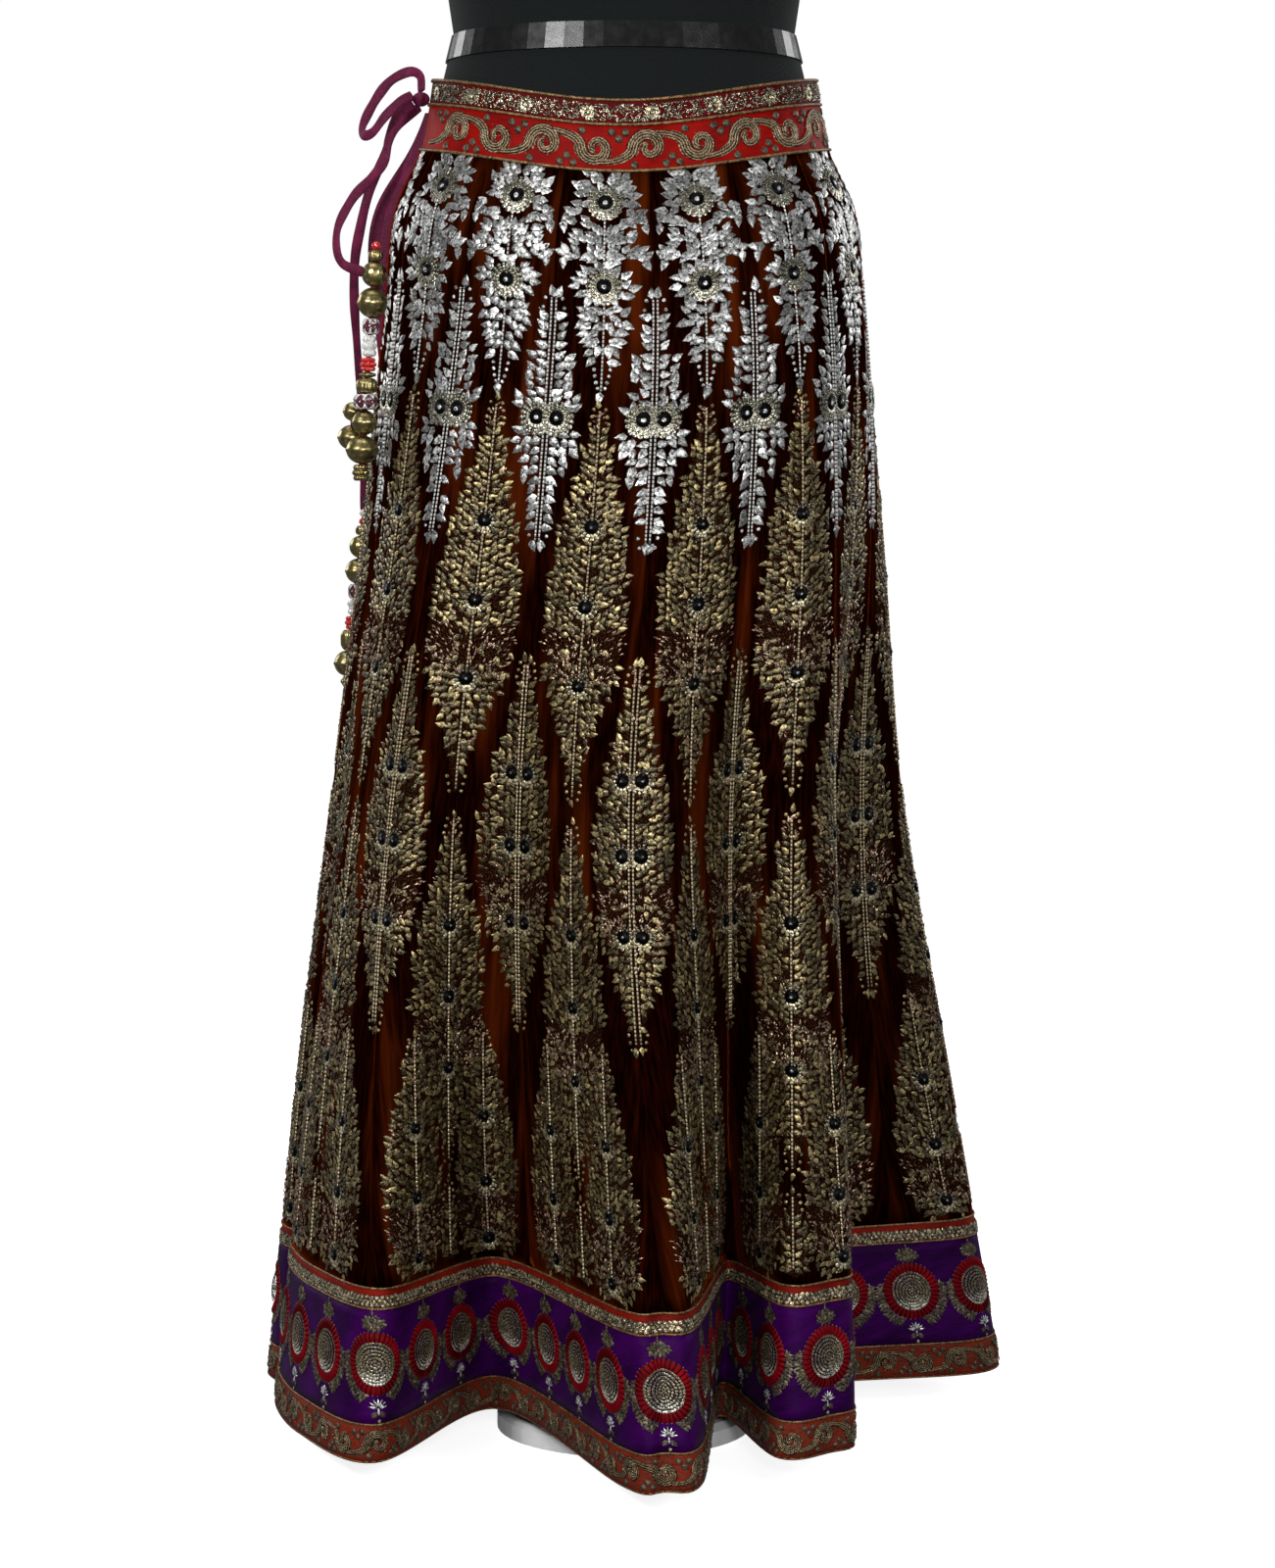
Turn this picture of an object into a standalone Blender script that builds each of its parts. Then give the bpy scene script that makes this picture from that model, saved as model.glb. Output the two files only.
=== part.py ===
"""An embroidered velvet lehenga skirt on a limbless dress form.

Metres, +Z up. The origin is on the floor under the form's pole, and the skirt's front faces -Y.
The cloth is one surface, a function of cloth fraction round the skirt and height fraction down it.
Every panel and band is a wall cut from that surface, so neighbours meet along shared seams.
"""

import math

import bmesh
import bpy
import numpy as np

# Driving sizes of the skirt
GORES = 14
HEM_Z = 0.024
WAIST_TOP_BACK_Z = 0.984
WAIST_FRONT_DIP = 0.029
BAND_HEIGHT = 0.051
UPPER_BAND_HEIGHT = 0.018
BORDER_HEIGHTS = {"beaded": 0.014, "purple": 0.079, "scroll": 0.026}
CLOTH_HEIGHT = 0.900
VELVET_WALL = 0.0014
BORDER_WALL = 0.0018
BAND_WALL = 0.0024
SEAM_GAP = 0.0003

# The opening at the wearer's right side, measured along the waist from the opening's middle line
OPENING_ANGLE = -81.0
HEM_START_ANGLE = -107.0
PLACKET_FRONT = 0.003
PLACKET_BACK = 0.026
PLACKET_END = 0.17

# The cloth without its folds: height fraction down from the band, half width, half depth, sideways lean
CONE = [
    {"fraction": -0.060, "half_width": 0.1365, "half_depth": 0.1045, "sideways": 0.000},
    {"fraction": 0.000, "half_width": 0.1470, "half_depth": 0.1130, "sideways": 0.000},
    {"fraction": 0.042, "half_width": 0.1640, "half_depth": 0.1270, "sideways": 0.000},
    {"fraction": 0.120, "half_width": 0.1725, "half_depth": 0.1410, "sideways": 0.000},
    {"fraction": 0.280, "half_width": 0.1860, "half_depth": 0.1640, "sideways": -0.001},
    {"fraction": 0.500, "half_width": 0.2050, "half_depth": 0.1880, "sideways": -0.007},
    {"fraction": 0.750, "half_width": 0.2350, "half_depth": 0.2120, "sideways": -0.005},
    {"fraction": 1.000, "half_width": 0.2620, "half_depth": 0.2350, "sideways": 0.000},
    {"fraction": 1.060, "half_width": 0.2680, "half_depth": 0.2400, "sideways": 0.000},
]

# The hem seen from above: each fold's crest and the valley after it, by angle from the front and reach
FOLDS = [
    {"crest": -63, "reach": 0.258, "half": 0.096, "drop": 0.020, "valley": -61, "depth": 0.105},
    {"crest": 6, "reach": 0.267, "half": 0.027, "drop": 0.017, "valley": 44, "depth": 0.098},
    {"crest": 40, "reach": 0.221, "half": 0.036, "drop": 0.015, "valley": 92, "depth": 0.115},
    {"crest": 114, "reach": 0.300, "half": 0.060, "drop": 0.032, "valley": 138, "depth": 0.130},
    {"crest": 157, "reach": 0.285, "half": 0.042, "drop": 0.018, "valley": 175, "depth": 0.125},
    {"crest": 192, "reach": 0.272, "half": 0.044, "drop": 0.018, "valley": 209, "depth": 0.130},
    {"crest": 226, "reach": 0.290, "half": 0.046, "drop": 0.018, "valley": 242, "depth": 0.150},
    {"crest": 256, "reach": 0.277, "half": 0.030, "drop": 0.014, "valley": 270, "depth": 0.236},
]
FOLD_START = 0.10
FOLD_GROWTH = 1.60

# How finely the solids are cut
RING_SAMPLES = 1440
COLUMNS_PER_GORE = 8
GORE_ROWS = 8
BAND_COLUMNS = 56

# The dress form: height, half width, half depth, and how far the section stands forward
FORM_SECTIONS = [
    {"z": 0.700, "half_width": 0.120, "half_depth": 0.095, "forward": 0.000},
    {"z": 0.706, "half_width": 0.140, "half_depth": 0.112, "forward": 0.000},
    {"z": 0.760, "half_width": 0.158, "half_depth": 0.126, "forward": 0.000},
    {"z": 0.840, "half_width": 0.158, "half_depth": 0.125, "forward": 0.000},
    {"z": 1.010, "half_width": 0.1218, "half_depth": 0.0900, "forward": 0.000},
    {"z": 1.060, "half_width": 0.1290, "half_depth": 0.0950, "forward": 0.004},
    {"z": 1.130, "half_width": 0.1440, "half_depth": 0.1060, "forward": 0.010},
    {"z": 1.210, "half_width": 0.1560, "half_depth": 0.1200, "forward": 0.018},
    {"z": 1.290, "half_width": 0.1640, "half_depth": 0.1080, "forward": 0.008},
    {"z": 1.345, "half_width": 0.1680, "half_depth": 0.0900, "forward": -0.004},
    {"z": 1.378, "half_width": 0.1480, "half_depth": 0.0780, "forward": -0.012},
    {"z": 1.400, "half_width": 0.0980, "half_depth": 0.0660, "forward": -0.016},
    {"z": 1.418, "half_width": 0.0600, "half_depth": 0.0560, "forward": -0.018},
    {"z": 1.462, "half_width": 0.0540, "half_depth": 0.0530, "forward": -0.016},
]
FORM_SEAT_GAP = 0.0004
TAPE_HEIGHT = 0.018
TAPE_WALL = 0.0015
TAPE_Z = 1.001
POLE_RADIUS = 0.0125
BASE_RADIUS = 0.094
BASE_THICKNESS = 0.015

# The drawstring: its route in the plane beside the opening, as x, y and z
TIE_WIDTH = 0.0056
KNOT_CENTRE = (-0.1443, -0.020, 0.9640)
UPPER_LOOP = [
    (-0.1440, -0.0190, 0.9700),
    (-0.1456, -0.0120, 0.9815),
    (-0.1540, -0.0060, 0.9850),
    (-0.1680, -0.0070, 0.9775),
    (-0.1790, -0.0110, 0.9620),
    (-0.1860, -0.0170, 0.9460),
    (-0.1850, -0.0240, 0.9385),
    (-0.1780, -0.0300, 0.9400),
    (-0.1690, -0.0320, 0.9510),
    (-0.1590, -0.0300, 0.9610),
    (-0.1503, -0.0258, 0.9660),
]
FRONT_TAIL = [
    (-0.1499, -0.0200, 0.9608),
    (-0.1620, -0.0225, 0.9520),
    (-0.1670, -0.0255, 0.9360),
    (-0.1700, -0.0300, 0.9200),
    (-0.1780, -0.0360, 0.9080),
    (-0.1910, -0.0440, 0.8930),
    (-0.2010, -0.0510, 0.8730),
    (-0.2022, -0.0560, 0.8570),
    (-0.1975, -0.0600, 0.8455),
    (-0.1842, -0.0620, 0.8398),
]
BACK_TAIL = [
    (-0.1460, -0.0146, 0.9592),
    (-0.1640, -0.0040, 0.9450),
    (-0.1730, 0.0020, 0.9250),
    (-0.1835, 0.0040, 0.9010),
    (-0.1907, 0.0080, 0.8740),
    (-0.1950, 0.0140, 0.8510),
    (-0.1960, 0.0220, 0.8200),
    (-0.1945, 0.0340, 0.7800),
    (-0.1930, 0.0450, 0.7400),
    (-0.1920, 0.0530, 0.7000),
    (-0.1918, 0.0550, 0.6735),
]

# The two tassels, top to bottom: bead name, radius across, height, and profile
FRONT_TASSEL_TOP = (-0.1735, -0.0620, 0.8608)
FRONT_TASSEL_LEAN = 0.075
FRONT_TASSEL = [
    {"name": "red_bead", "radius": 0.0033, "height": 0.0060, "profile": "ball"},
    {"name": "ribbed_barrel", "radius": 0.0052, "height": 0.0072, "profile": "drum"},
    {"name": "brass_ball", "radius": 0.0090, "height": 0.0180, "profile": "ball"},
    {"name": "seamed_ball", "radius": 0.0111, "height": 0.0212, "profile": "ball"},
    {"name": "petal_bead", "radius": 0.0063, "height": 0.0112, "profile": "drum"},
    {"name": "white_cluster", "radius": 0.0056, "height": 0.0156, "profile": "drum"},
    {"name": "red_cluster", "radius": 0.0061, "height": 0.0096, "profile": "ball"},
    {"name": "stone_ring", "radius": 0.0062, "height": 0.0042, "profile": "drum"},
    {"name": "long_barrel", "radius": 0.0074, "height": 0.0106, "profile": "drum"},
    {"name": "crown_bead", "radius": 0.0092, "height": 0.0110, "profile": "drum"},
    {"name": "small_bell", "radius": 0.0092, "height": 0.0176, "profile": "ball"},
    {"name": "large_bell", "radius": 0.0122, "height": 0.0200, "profile": "ball"},
    {"name": "gold_cluster", "radius": 0.0064, "height": 0.0116, "profile": "ball"},
]
BACK_TASSEL_TOP = (-0.1918, 0.0550, 0.6732)
BACK_TASSEL_LEAN = 0.120
BACK_TASSEL = [
    {"name": "white_bead", "radius": 0.0040, "height": 0.0060, "profile": "ball"},
    {"name": "red_bead", "radius": 0.0036, "height": 0.0056, "profile": "ball"},
    {"name": "ribbed_barrel", "radius": 0.0052, "height": 0.0070, "profile": "drum"},
    {"name": "brass_ball", "radius": 0.0085, "height": 0.0166, "profile": "ball"},
    {"name": "seamed_ball", "radius": 0.0098, "height": 0.0186, "profile": "ball"},
    {"name": "petal_bead", "radius": 0.0060, "height": 0.0110, "profile": "drum"},
    {"name": "white_cluster", "radius": 0.0054, "height": 0.0120, "profile": "drum"},
    {"name": "red_cluster", "radius": 0.0058, "height": 0.0100, "profile": "ball"},
    {"name": "long_barrel", "radius": 0.0070, "height": 0.0150, "profile": "drum"},
    {"name": "large_bell", "radius": 0.0105, "height": 0.0190, "profile": "ball"},
    {"name": "gold_bead", "radius": 0.0040, "height": 0.0072, "profile": "ball"},
]
BEAD_GAP = 0.0003
BEAD_SIDES = 10

# Colour, roughness and metallic value of each finish
FINISHES = {
    "velvet": ((0.045, 0.008, 0.002), 0.85, 0.0),
    "band_beadwork": ((0.16, 0.06, 0.03), 0.6, 0.0),
    "band_silk": ((0.55, 0.02, 0.02), 0.5, 0.0),
    "border_beadwork": ((0.25, 0.18, 0.08), 0.45, 0.4),
    "border_purple": ((0.07, 0.004, 0.20), 0.45, 0.0),
    "border_red": ((0.35, 0.05, 0.02), 0.55, 0.0),
    "wine_cloth": ((0.14, 0.006, 0.045), 0.7, 0.0),
    "antique_brass": ((0.35, 0.29, 0.14), 0.35, 1.0),
    "red_glass": ((0.5, 0.02, 0.01), 0.15, 0.0),
    "form_knit": ((0.012, 0.014, 0.014), 0.9, 0.0),
    "form_tape": ((0.006, 0.006, 0.006), 0.2, 0.0),
    "form_steel": ((0.55, 0.55, 0.56), 0.3, 1.0),
    "form_enamel": ((0.02, 0.02, 0.022), 0.4, 0.0),
}


def clear_scene():
    for old in list(bpy.data.objects):
        bpy.data.objects.remove(old, do_unlink=True)


def finish(name):
    """Return the Principled material of one finish, made the first time it is asked for."""
    if name in bpy.data.materials:
        return bpy.data.materials[name]
    colour, roughness, metallic = FINISHES[name]
    material = bpy.data.materials.new(name)
    material.use_nodes = True
    shader = material.node_tree.nodes["Principled BSDF"]
    shader.inputs["Base Color"].default_value = (*colour, 1.0)
    shader.inputs["Roughness"].default_value = roughness
    shader.inputs["Metallic"].default_value = metallic
    return material


def make_object(name, points, faces, finish_name):
    """Make one closed body from its points and faces, with the faces turned outwards."""
    mesh = bpy.data.meshes.new(name)
    mesh.from_pydata([tuple(point) for point in points], [], faces)
    body = bmesh.new()
    body.from_mesh(mesh)
    bmesh.ops.recalc_face_normals(body, faces=body.faces)
    body.to_mesh(mesh)
    body.free()
    mesh.shade_smooth()
    mesh.set_sharp_from_angle(angle=math.radians(40))
    piece = bpy.data.objects.new(name, mesh)
    piece.data.materials.append(finish(finish_name))
    bpy.context.scene.collection.objects.link(piece)
    return piece


# The cloth surface


def smooth_column(rows, key, column, at):
    """Read one column of a table at any key, along a smooth curve through its rows."""
    keys = np.array([row[key] for row in rows])
    values = np.array([row[column] for row in rows])
    slopes = np.gradient(values, keys)
    at = np.clip(at, keys[0], keys[-1])
    low = np.clip(np.searchsorted(keys, at, side="right") - 1, 0, len(keys) - 2)
    step = keys[low + 1] - keys[low]
    s = (at - keys[low]) / step
    rise = values[low + 1] - values[low]
    start = slopes[low] * step
    end = slopes[low + 1] * step
    return values[low] + s * start + s**2 * (3 * rise - 2 * start - end) + s**3 * (start + end - 2 * rise)


def polar(angle, reach):
    """Place a point in plan from its angle from the front, towards +X, and its reach."""
    turn = np.radians(angle)
    return np.stack([reach * np.sin(turn), -reach * np.cos(turn)], axis=-1)


def by_arc_length(points, fractions):
    """Read a dense curve at fractions of its own length."""
    steps = np.linalg.norm(np.diff(points, axis=0), axis=1)
    length = np.concatenate([[0.0], np.cumsum(steps)])
    return np.stack([np.interp(fractions * length[-1], length, axis) for axis in points.T], axis=-1)


def closed_curve(points, samples):
    """Pass a closed Catmull-Rom curve through points, each span read evenly."""
    before = np.roll(points, 1, axis=0)
    after = np.roll(points, -1, axis=0)
    beyond = np.roll(points, -2, axis=0)
    s = np.linspace(0, 1, samples, endpoint=False)[None, :, None]
    p0, p1, p2, p3 = (block[:, None, :] for block in (before, points, after, beyond))
    curve = p1 + 0.5 * s * (p2 - p0 + s * (2 * p0 - 5 * p1 + 4 * p2 - p3 + s * (3 * (p1 - p2) + p3 - p0)))
    return curve.reshape(-1, points.shape[1])


def hem_plan():
    """Draw the hem from above: two shoulders and a crest to each fold, then its valley."""
    outline = []
    for fold in FOLDS:
        crest = polar(fold["crest"], fold["reach"])
        outward = polar(fold["crest"], 1.0)
        along = polar(fold["crest"] + 90, 1.0)
        shoulder = crest - fold["drop"] * outward
        outline.append(shoulder - fold["half"] * along)
        outline.append(crest)
        outline.append(shoulder + fold["half"] * along)
        outline.append(polar(fold["valley"], fold["depth"]))
    curve = closed_curve(np.array(outline), 60)
    angle = np.degrees(np.arctan2(curve[:, 0], -curve[:, 1]))
    reach = np.linalg.norm(curve, axis=1)
    near_start = np.abs(angle - HEM_START_ANGLE) + 1000.0 * (reach < 0.2)
    curve = np.roll(curve, -int(np.argmin(near_start)), axis=0)
    curve = np.vstack([curve, curve[:1]])
    return by_arc_length(curve, np.linspace(0, 1, RING_SAMPLES + 1))


HEM_PLAN = hem_plan()
RING_ANGLES = OPENING_ANGLE + np.linspace(0, 360, RING_SAMPLES + 1)


def band_top_z(angle):
    """The waistband's top edge: level behind, and dipping at the front."""
    return WAIST_TOP_BACK_Z - WAIST_FRONT_DIP * ((1 + np.cos(np.radians(angle))) / 2) ** 3


def plain_ring(fraction):
    """One level of the cloth without its folds, evenly spaced along its length, in plan."""
    half_width = smooth_column(CONE, "fraction", "half_width", fraction)
    half_depth = smooth_column(CONE, "fraction", "half_depth", fraction)
    sideways = smooth_column(CONE, "fraction", "sideways", fraction)
    turn = np.radians(RING_ANGLES)
    ellipse = np.stack([sideways + half_width * np.sin(turn), -half_depth * np.cos(turn)], axis=-1)
    return by_arc_length(ellipse, np.linspace(0, 1, RING_SAMPLES + 1))


HEM_FOLDING = HEM_PLAN - plain_ring(1.0)


def fold_share(fraction):
    """How much of the hem's folding a level has: none at the hip, all of it at the hem."""
    return max(0.0, (fraction - FOLD_START) / (1 - FOLD_START)) ** FOLD_GROWTH


def ring(fraction, shares, outward=0.0):
    """Points at one height fraction and at shares of the cloth round the skirt, moved outward."""
    plan = plain_ring(fraction) + fold_share(fraction) * HEM_FOLDING
    plan = by_arc_length(plan, np.linspace(0, 1, RING_SAMPLES + 1))
    angle = np.degrees(np.arctan2(plain_ring(0.0)[:, 0], -plain_ring(0.0)[:, 1]))
    waist_z = band_top_z(angle) - BAND_HEIGHT
    height = waist_z + (HEM_Z - waist_z) * fraction
    if fraction < 0:
        height = waist_z - fraction * CLOTH_HEIGHT
    tangent = np.gradient(plan[:-1], axis=0)
    tangent[0] = tangent[-1] = plan[1] - plan[-2]
    tangent = np.vstack([tangent, tangent[:1]])
    normal = np.stack([tangent[:, 1], -tangent[:, 0]], axis=-1)
    normal /= np.linalg.norm(normal, axis=1, keepdims=True)
    points = np.column_stack([plan + outward * normal, height])
    evenly = np.linspace(0, 1, RING_SAMPLES + 1)
    return np.stack([np.interp(np.mod(shares, 1.0), evenly, axis) for axis in points.T], axis=-1)


def ring_length(fraction):
    plan = plain_ring(fraction) + fold_share(fraction) * HEM_FOLDING
    return float(np.linalg.norm(np.diff(plan, axis=0), axis=1).sum())


def wall(name, outer, inner, closed, finish_name):
    """Close a wall between two grids of points, rows going down and columns going round."""
    rows, columns = outer.shape[:2]
    count = rows * columns
    points = np.vstack([outer.reshape(-1, 3), inner.reshape(-1, 3)])
    faces = []
    spans = columns if closed else columns - 1
    for column in range(spans):
        nxt = (column + 1) % columns
        for row in range(rows - 1):
            a = row * columns + column
            b = (row + 1) * columns + column
            c = (row + 1) * columns + nxt
            d = row * columns + nxt
            faces.append((a, b, c, d))
            faces.append((a + count, d + count, c + count, b + count))
        last = (rows - 1) * columns
        faces.append((column, nxt, nxt + count, column + count))
        faces.append((last + column, last + column + count, last + nxt + count, last + nxt))
    if not closed:
        for row in range(rows - 1):
            for column in (0, columns - 1):
                a = row * columns + column
                b = a + columns
                faces.append((a, a + count, b + count, b))
    return make_object(name, points, faces, finish_name)


def placket(fraction):
    """The opening's front and back edges at one level, as shares of the ring."""
    open_share = max(0.0, 1 - max(0.0, fraction) / PLACKET_END)
    length = ring_length(fraction)
    front = (PLACKET_FRONT * open_share + SEAM_GAP / 2) / length
    back = 1 - (PLACKET_BACK * open_share + SEAM_GAP / 2) / length
    return front, back


def gore_edges(index, fraction):
    """The side edges of one gore at one level: half gores meet the opening, others meet at seams."""
    gap = SEAM_GAP / 2 / ring_length(fraction)
    left = (index - 0.5) / GORES + gap
    right = (index + 0.5) / GORES - gap
    front, back = placket(fraction)
    if index == 0:
        left = front
    if index == GORES:
        right = back
    return left, right


def border_fractions():
    """The levels between the velvet and the three bands of the border, top to bottom."""
    levels = [1.0]
    for height in reversed(list(BORDER_HEIGHTS.values())):
        levels.insert(0, levels[0] - height / CLOTH_HEIGHT)
    return levels


BORDER_LEVELS = border_fractions()
LEVEL_GAP = SEAM_GAP / 2 / CLOTH_HEIGHT


def gore(name, index):
    """One velvet gore, from just under the waistband to just over the border."""
    levels = np.linspace(0, 1, GORE_ROWS + 1) ** 0.95 * (BORDER_LEVELS[0] - 2 * LEVEL_GAP) + LEVEL_GAP
    columns = COLUMNS_PER_GORE + 1
    if index in (0, GORES):
        columns = COLUMNS_PER_GORE // 2 + 1
    outer = []
    inner = []
    for level in levels:
        left, right = gore_edges(index, level)
        shares = np.linspace(left, right, columns)
        outer.append(ring(level, shares))
        inner.append(ring(level, shares, -VELVET_WALL))
    return wall(name, np.array(outer), np.array(inner), False, "velvet")


def border_band(name, top, bottom, rows, finish_name):
    """One band of the hem border, a closed ring that follows every fold."""
    levels = np.linspace(top + LEVEL_GAP, bottom - LEVEL_GAP, rows + 1)
    shares = np.arange(GORES * COLUMNS_PER_GORE) / (GORES * COLUMNS_PER_GORE)
    outer = np.array([ring(level, shares, 0.0003) for level in levels])
    inner = np.array([ring(level, shares, 0.0003 - BORDER_WALL) for level in levels])
    return wall(name, outer, inner, True, finish_name)


def waist_band(name, top_drop, bottom_drop, finish_name):
    """One band of the waist, from its drop below the top edge, open at the side."""
    levels = [(drop - BAND_HEIGHT) / CLOTH_HEIGHT for drop in (top_drop, bottom_drop)]
    front, back = placket(0.0)
    shares = np.linspace(front, back, BAND_COLUMNS + 1)
    outer = np.array([ring(level, shares, 0.0006) for level in levels])
    inner = np.array([ring(level, shares, 0.0006 - BAND_WALL) for level in levels])
    return wall(name, outer, inner, False, finish_name)


def side_gusset():
    """The gathered cloth in the placket: a pleated wall that swells out between the two edges."""
    levels = np.linspace(-0.030, PLACKET_END - 0.012, 9)
    columns = 15
    across = np.linspace(0, 1, columns)
    outer = []
    inner = []
    for level in levels:
        front, back = placket(max(0.0, level))
        margin = 0.0006 / ring_length(max(0.0, level))
        share = (back - 1 + margin) + across * (front - margin - (back - 1 + margin))
        down = max(0.0, (level + 0.030) / (PLACKET_END + 0.018))
        swell = 0.013 * math.sin(math.pi * min(1.0, down * 0.94 + 0.03)) ** 1.2
        pleat = 0.0016 * (1 - 0.5 * down) * np.sin(across * math.pi * 8)
        lift = -0.0012 + (swell + pleat) * np.sin(np.pi * across) ** 0.7
        for grid, shift in ((outer, 0.0), (inner, -0.0012)):
            points = [ring(level, np.array([s]), move + shift)[0] for s, move in zip(share, lift)]
            grid.append(points)
    return wall("side_gusset", np.array(outer), np.array(inner), False, "wine_cloth")


# The dress form


def loft(name, rings, finish_name):
    """Close a body through rings of points, with a flat cap at each end."""
    rings = np.array(rings)
    rows, columns = rings.shape[:2]
    faces = []
    for row in range(rows - 1):
        for column in range(columns):
            nxt = (column + 1) % columns
            a = row * columns + column
            b = row * columns + nxt
            faces.append((a, b, b + columns, a + columns))
    faces.append(tuple(range(columns)))
    faces.append(tuple((rows - 1) * columns + column for column in range(columns)))
    return make_object(name, rings.reshape(-1, 3), faces, finish_name)


def form_section(z, outward=0.0, columns=BAND_COLUMNS):
    """One level ring of the dress form, moved outward by its cover's thickness."""
    half_width = smooth_column(FORM_SECTIONS, "z", "half_width", z) + outward
    half_depth = smooth_column(FORM_SECTIONS, "z", "half_depth", z) + outward
    forward = smooth_column(FORM_SECTIONS, "z", "forward", z)
    turn = np.linspace(0, 2 * np.pi, columns, endpoint=False)
    ellipse = [half_width * np.sin(turn), -half_depth * np.cos(turn) - forward, np.full(columns, z)]
    return np.stack(ellipse, axis=-1)


def seat_ring(fraction, clearance):
    """A ring of the form that follows the waistband's tilt, just inside its lining."""
    half_width = smooth_column(CONE, "fraction", "half_width", fraction)
    half_depth = smooth_column(CONE, "fraction", "half_depth", fraction)
    inward = BAND_WALL - 0.0006 + clearance
    turn = np.linspace(0, 2 * np.pi, BAND_COLUMNS, endpoint=False)
    angle = np.degrees(np.arctan2(half_width * np.sin(turn), half_depth * np.cos(turn)))
    height = band_top_z(angle) - BAND_HEIGHT - fraction * CLOTH_HEIGHT
    x = (half_width - inward) * np.sin(turn)
    y = -(half_depth - inward) * np.cos(turn)
    return np.stack([x, y, height], axis=-1)


def dress_form():
    """A limbless torso that carries the waistband on its hips, with its tape, cap, pole and base."""
    lower = [form_section(z) for z in (0.700, 0.706, 0.760, 0.840)]
    seat = [seat_ring(0.002, FORM_SEAT_GAP), seat_ring(-0.030, 0.0035)]
    upper = [form_section(z) for z in (1.010, 1.060, 1.130, 1.175, 1.210, 1.250, 1.290, 1.345, 1.378)]
    neck = [form_section(z) for z in (1.400, 1.418, 1.462)]
    loft("form_torso", lower + seat + upper + neck, "form_knit")
    tape_levels = (TAPE_Z + TAPE_HEIGHT / 2, TAPE_Z - TAPE_HEIGHT / 2)
    outer = np.array([tape_ring(z, SEAM_GAP + TAPE_WALL) for z in tape_levels])
    inner = np.array([tape_ring(z, SEAM_GAP) for z in tape_levels])
    wall("form_waist_tape", outer, inner, True, "form_tape")
    cap = {"low": 1.462 + SEAM_GAP, "high": 1.476, "radius": 0.050, "forward": -0.016}
    rings = []
    for z, radius in ((cap["low"], cap["radius"]), (cap["high"] - 0.005, cap["radius"]), (cap["high"], 0.040)):
        rings.append(circle(radius, z, 28, -cap["forward"]))
    loft("form_neck_cap", rings, "form_enamel")
    pole_bottom = BASE_THICKNESS + SEAM_GAP
    pole_top = FORM_SECTIONS[0]["z"] - SEAM_GAP
    loft("form_pole", [circle(POLE_RADIUS, pole_bottom, 20), circle(POLE_RADIUS, pole_top, 20)], "form_steel")
    base = [circle(BASE_RADIUS, 0.0, 48), circle(BASE_RADIUS, BASE_THICKNESS - 0.004, 48)]
    base.append(circle(BASE_RADIUS - 0.006, BASE_THICKNESS, 48))
    loft("form_base", base, "form_enamel")


def tape_ring(z, outward):
    """A ring just outside the torso's own faces, between the two sections that the tape crosses."""
    low = seat_ring(-0.030, 0.0035)
    high = form_section(1.010)
    share = (z - low[:, 2]) / (high[:, 2] - low[:, 2])
    if z > high[0, 2]:
        low = high
        high = form_section(1.060)
        share = (z - low[:, 2]) / (high[:, 2] - low[:, 2])
    points = low + share[:, None] * (high - low)
    tangent = np.roll(points, -1, axis=0) - np.roll(points, 1, axis=0)
    normal = np.stack([tangent[:, 1], -tangent[:, 0]], axis=-1)
    normal /= np.linalg.norm(normal, axis=1, keepdims=True)
    points[:, :2] += outward * normal
    return points


def circle(radius, z, sides, forward=0.0):
    turn = np.linspace(0, 2 * np.pi, sides, endpoint=False)
    return np.stack([radius * np.sin(turn), -radius * np.cos(turn) + forward, np.full(sides, z)], axis=-1)


# The drawstring and its tassels


def tie(name, route, samples):
    """A narrow velvet tube along a smooth curve through the route's points."""
    route = np.array(route)
    ends = np.vstack([2 * route[0] - route[1], route, 2 * route[-1] - route[-2]])
    s = np.linspace(0, 1, 24, endpoint=False)[None, :, None]
    p0, p1, p2, p3 = (ends[k : len(ends) - 3 + k, None, :] for k in range(4))
    dense = p1 + 0.5 * s * (p2 - p0 + s * (2 * p0 - 5 * p1 + 4 * p2 - p3 + s * (3 * (p1 - p2) + p3 - p0)))
    dense = np.vstack([dense.reshape(-1, 3), route[-1:]])
    points = by_arc_length(dense, np.linspace(0, 1, samples))
    curve = bpy.data.curves.new(name, "CURVE")
    curve.dimensions = "3D"
    curve.bevel_depth = TIE_WIDTH / 2
    curve.bevel_resolution = 2
    curve.use_fill_caps = True
    spline = curve.splines.new("POLY")
    spline.points.add(len(points) - 1)
    for point, place in zip(spline.points, points):
        point.co = (*place, 1.0)
    piece = bpy.data.objects.new(name, curve)
    piece.data.materials.append(finish("wine_cloth"))
    bpy.context.scene.collection.objects.link(piece)
    return piece


def turned(name, centre, profile, sides, finish_name):
    """Turn a profile of (radius, height above the centre) pairs round an upright axis."""
    rings = []
    for radius, height in profile:
        level = circle(radius, centre[2] + height, sides)
        level[:, 0] += centre[0]
        level[:, 1] += centre[1]
        rings.append(level)
    return loft(name, rings, finish_name)


def bead_profile(kind, radius, height):
    """A ball's or a drum's profile from bottom to top."""
    half = height / 2
    if kind == "ball":
        turns = np.radians([-76, -45, -15, 15, 45, 76])
        return [(radius * math.cos(turn), half * math.sin(turn) / math.sin(turns[-1])) for turn in turns]
    return [(radius * 0.62, -half), (radius, -half * 0.55), (radius, half * 0.55), (radius * 0.62, half)]


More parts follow.
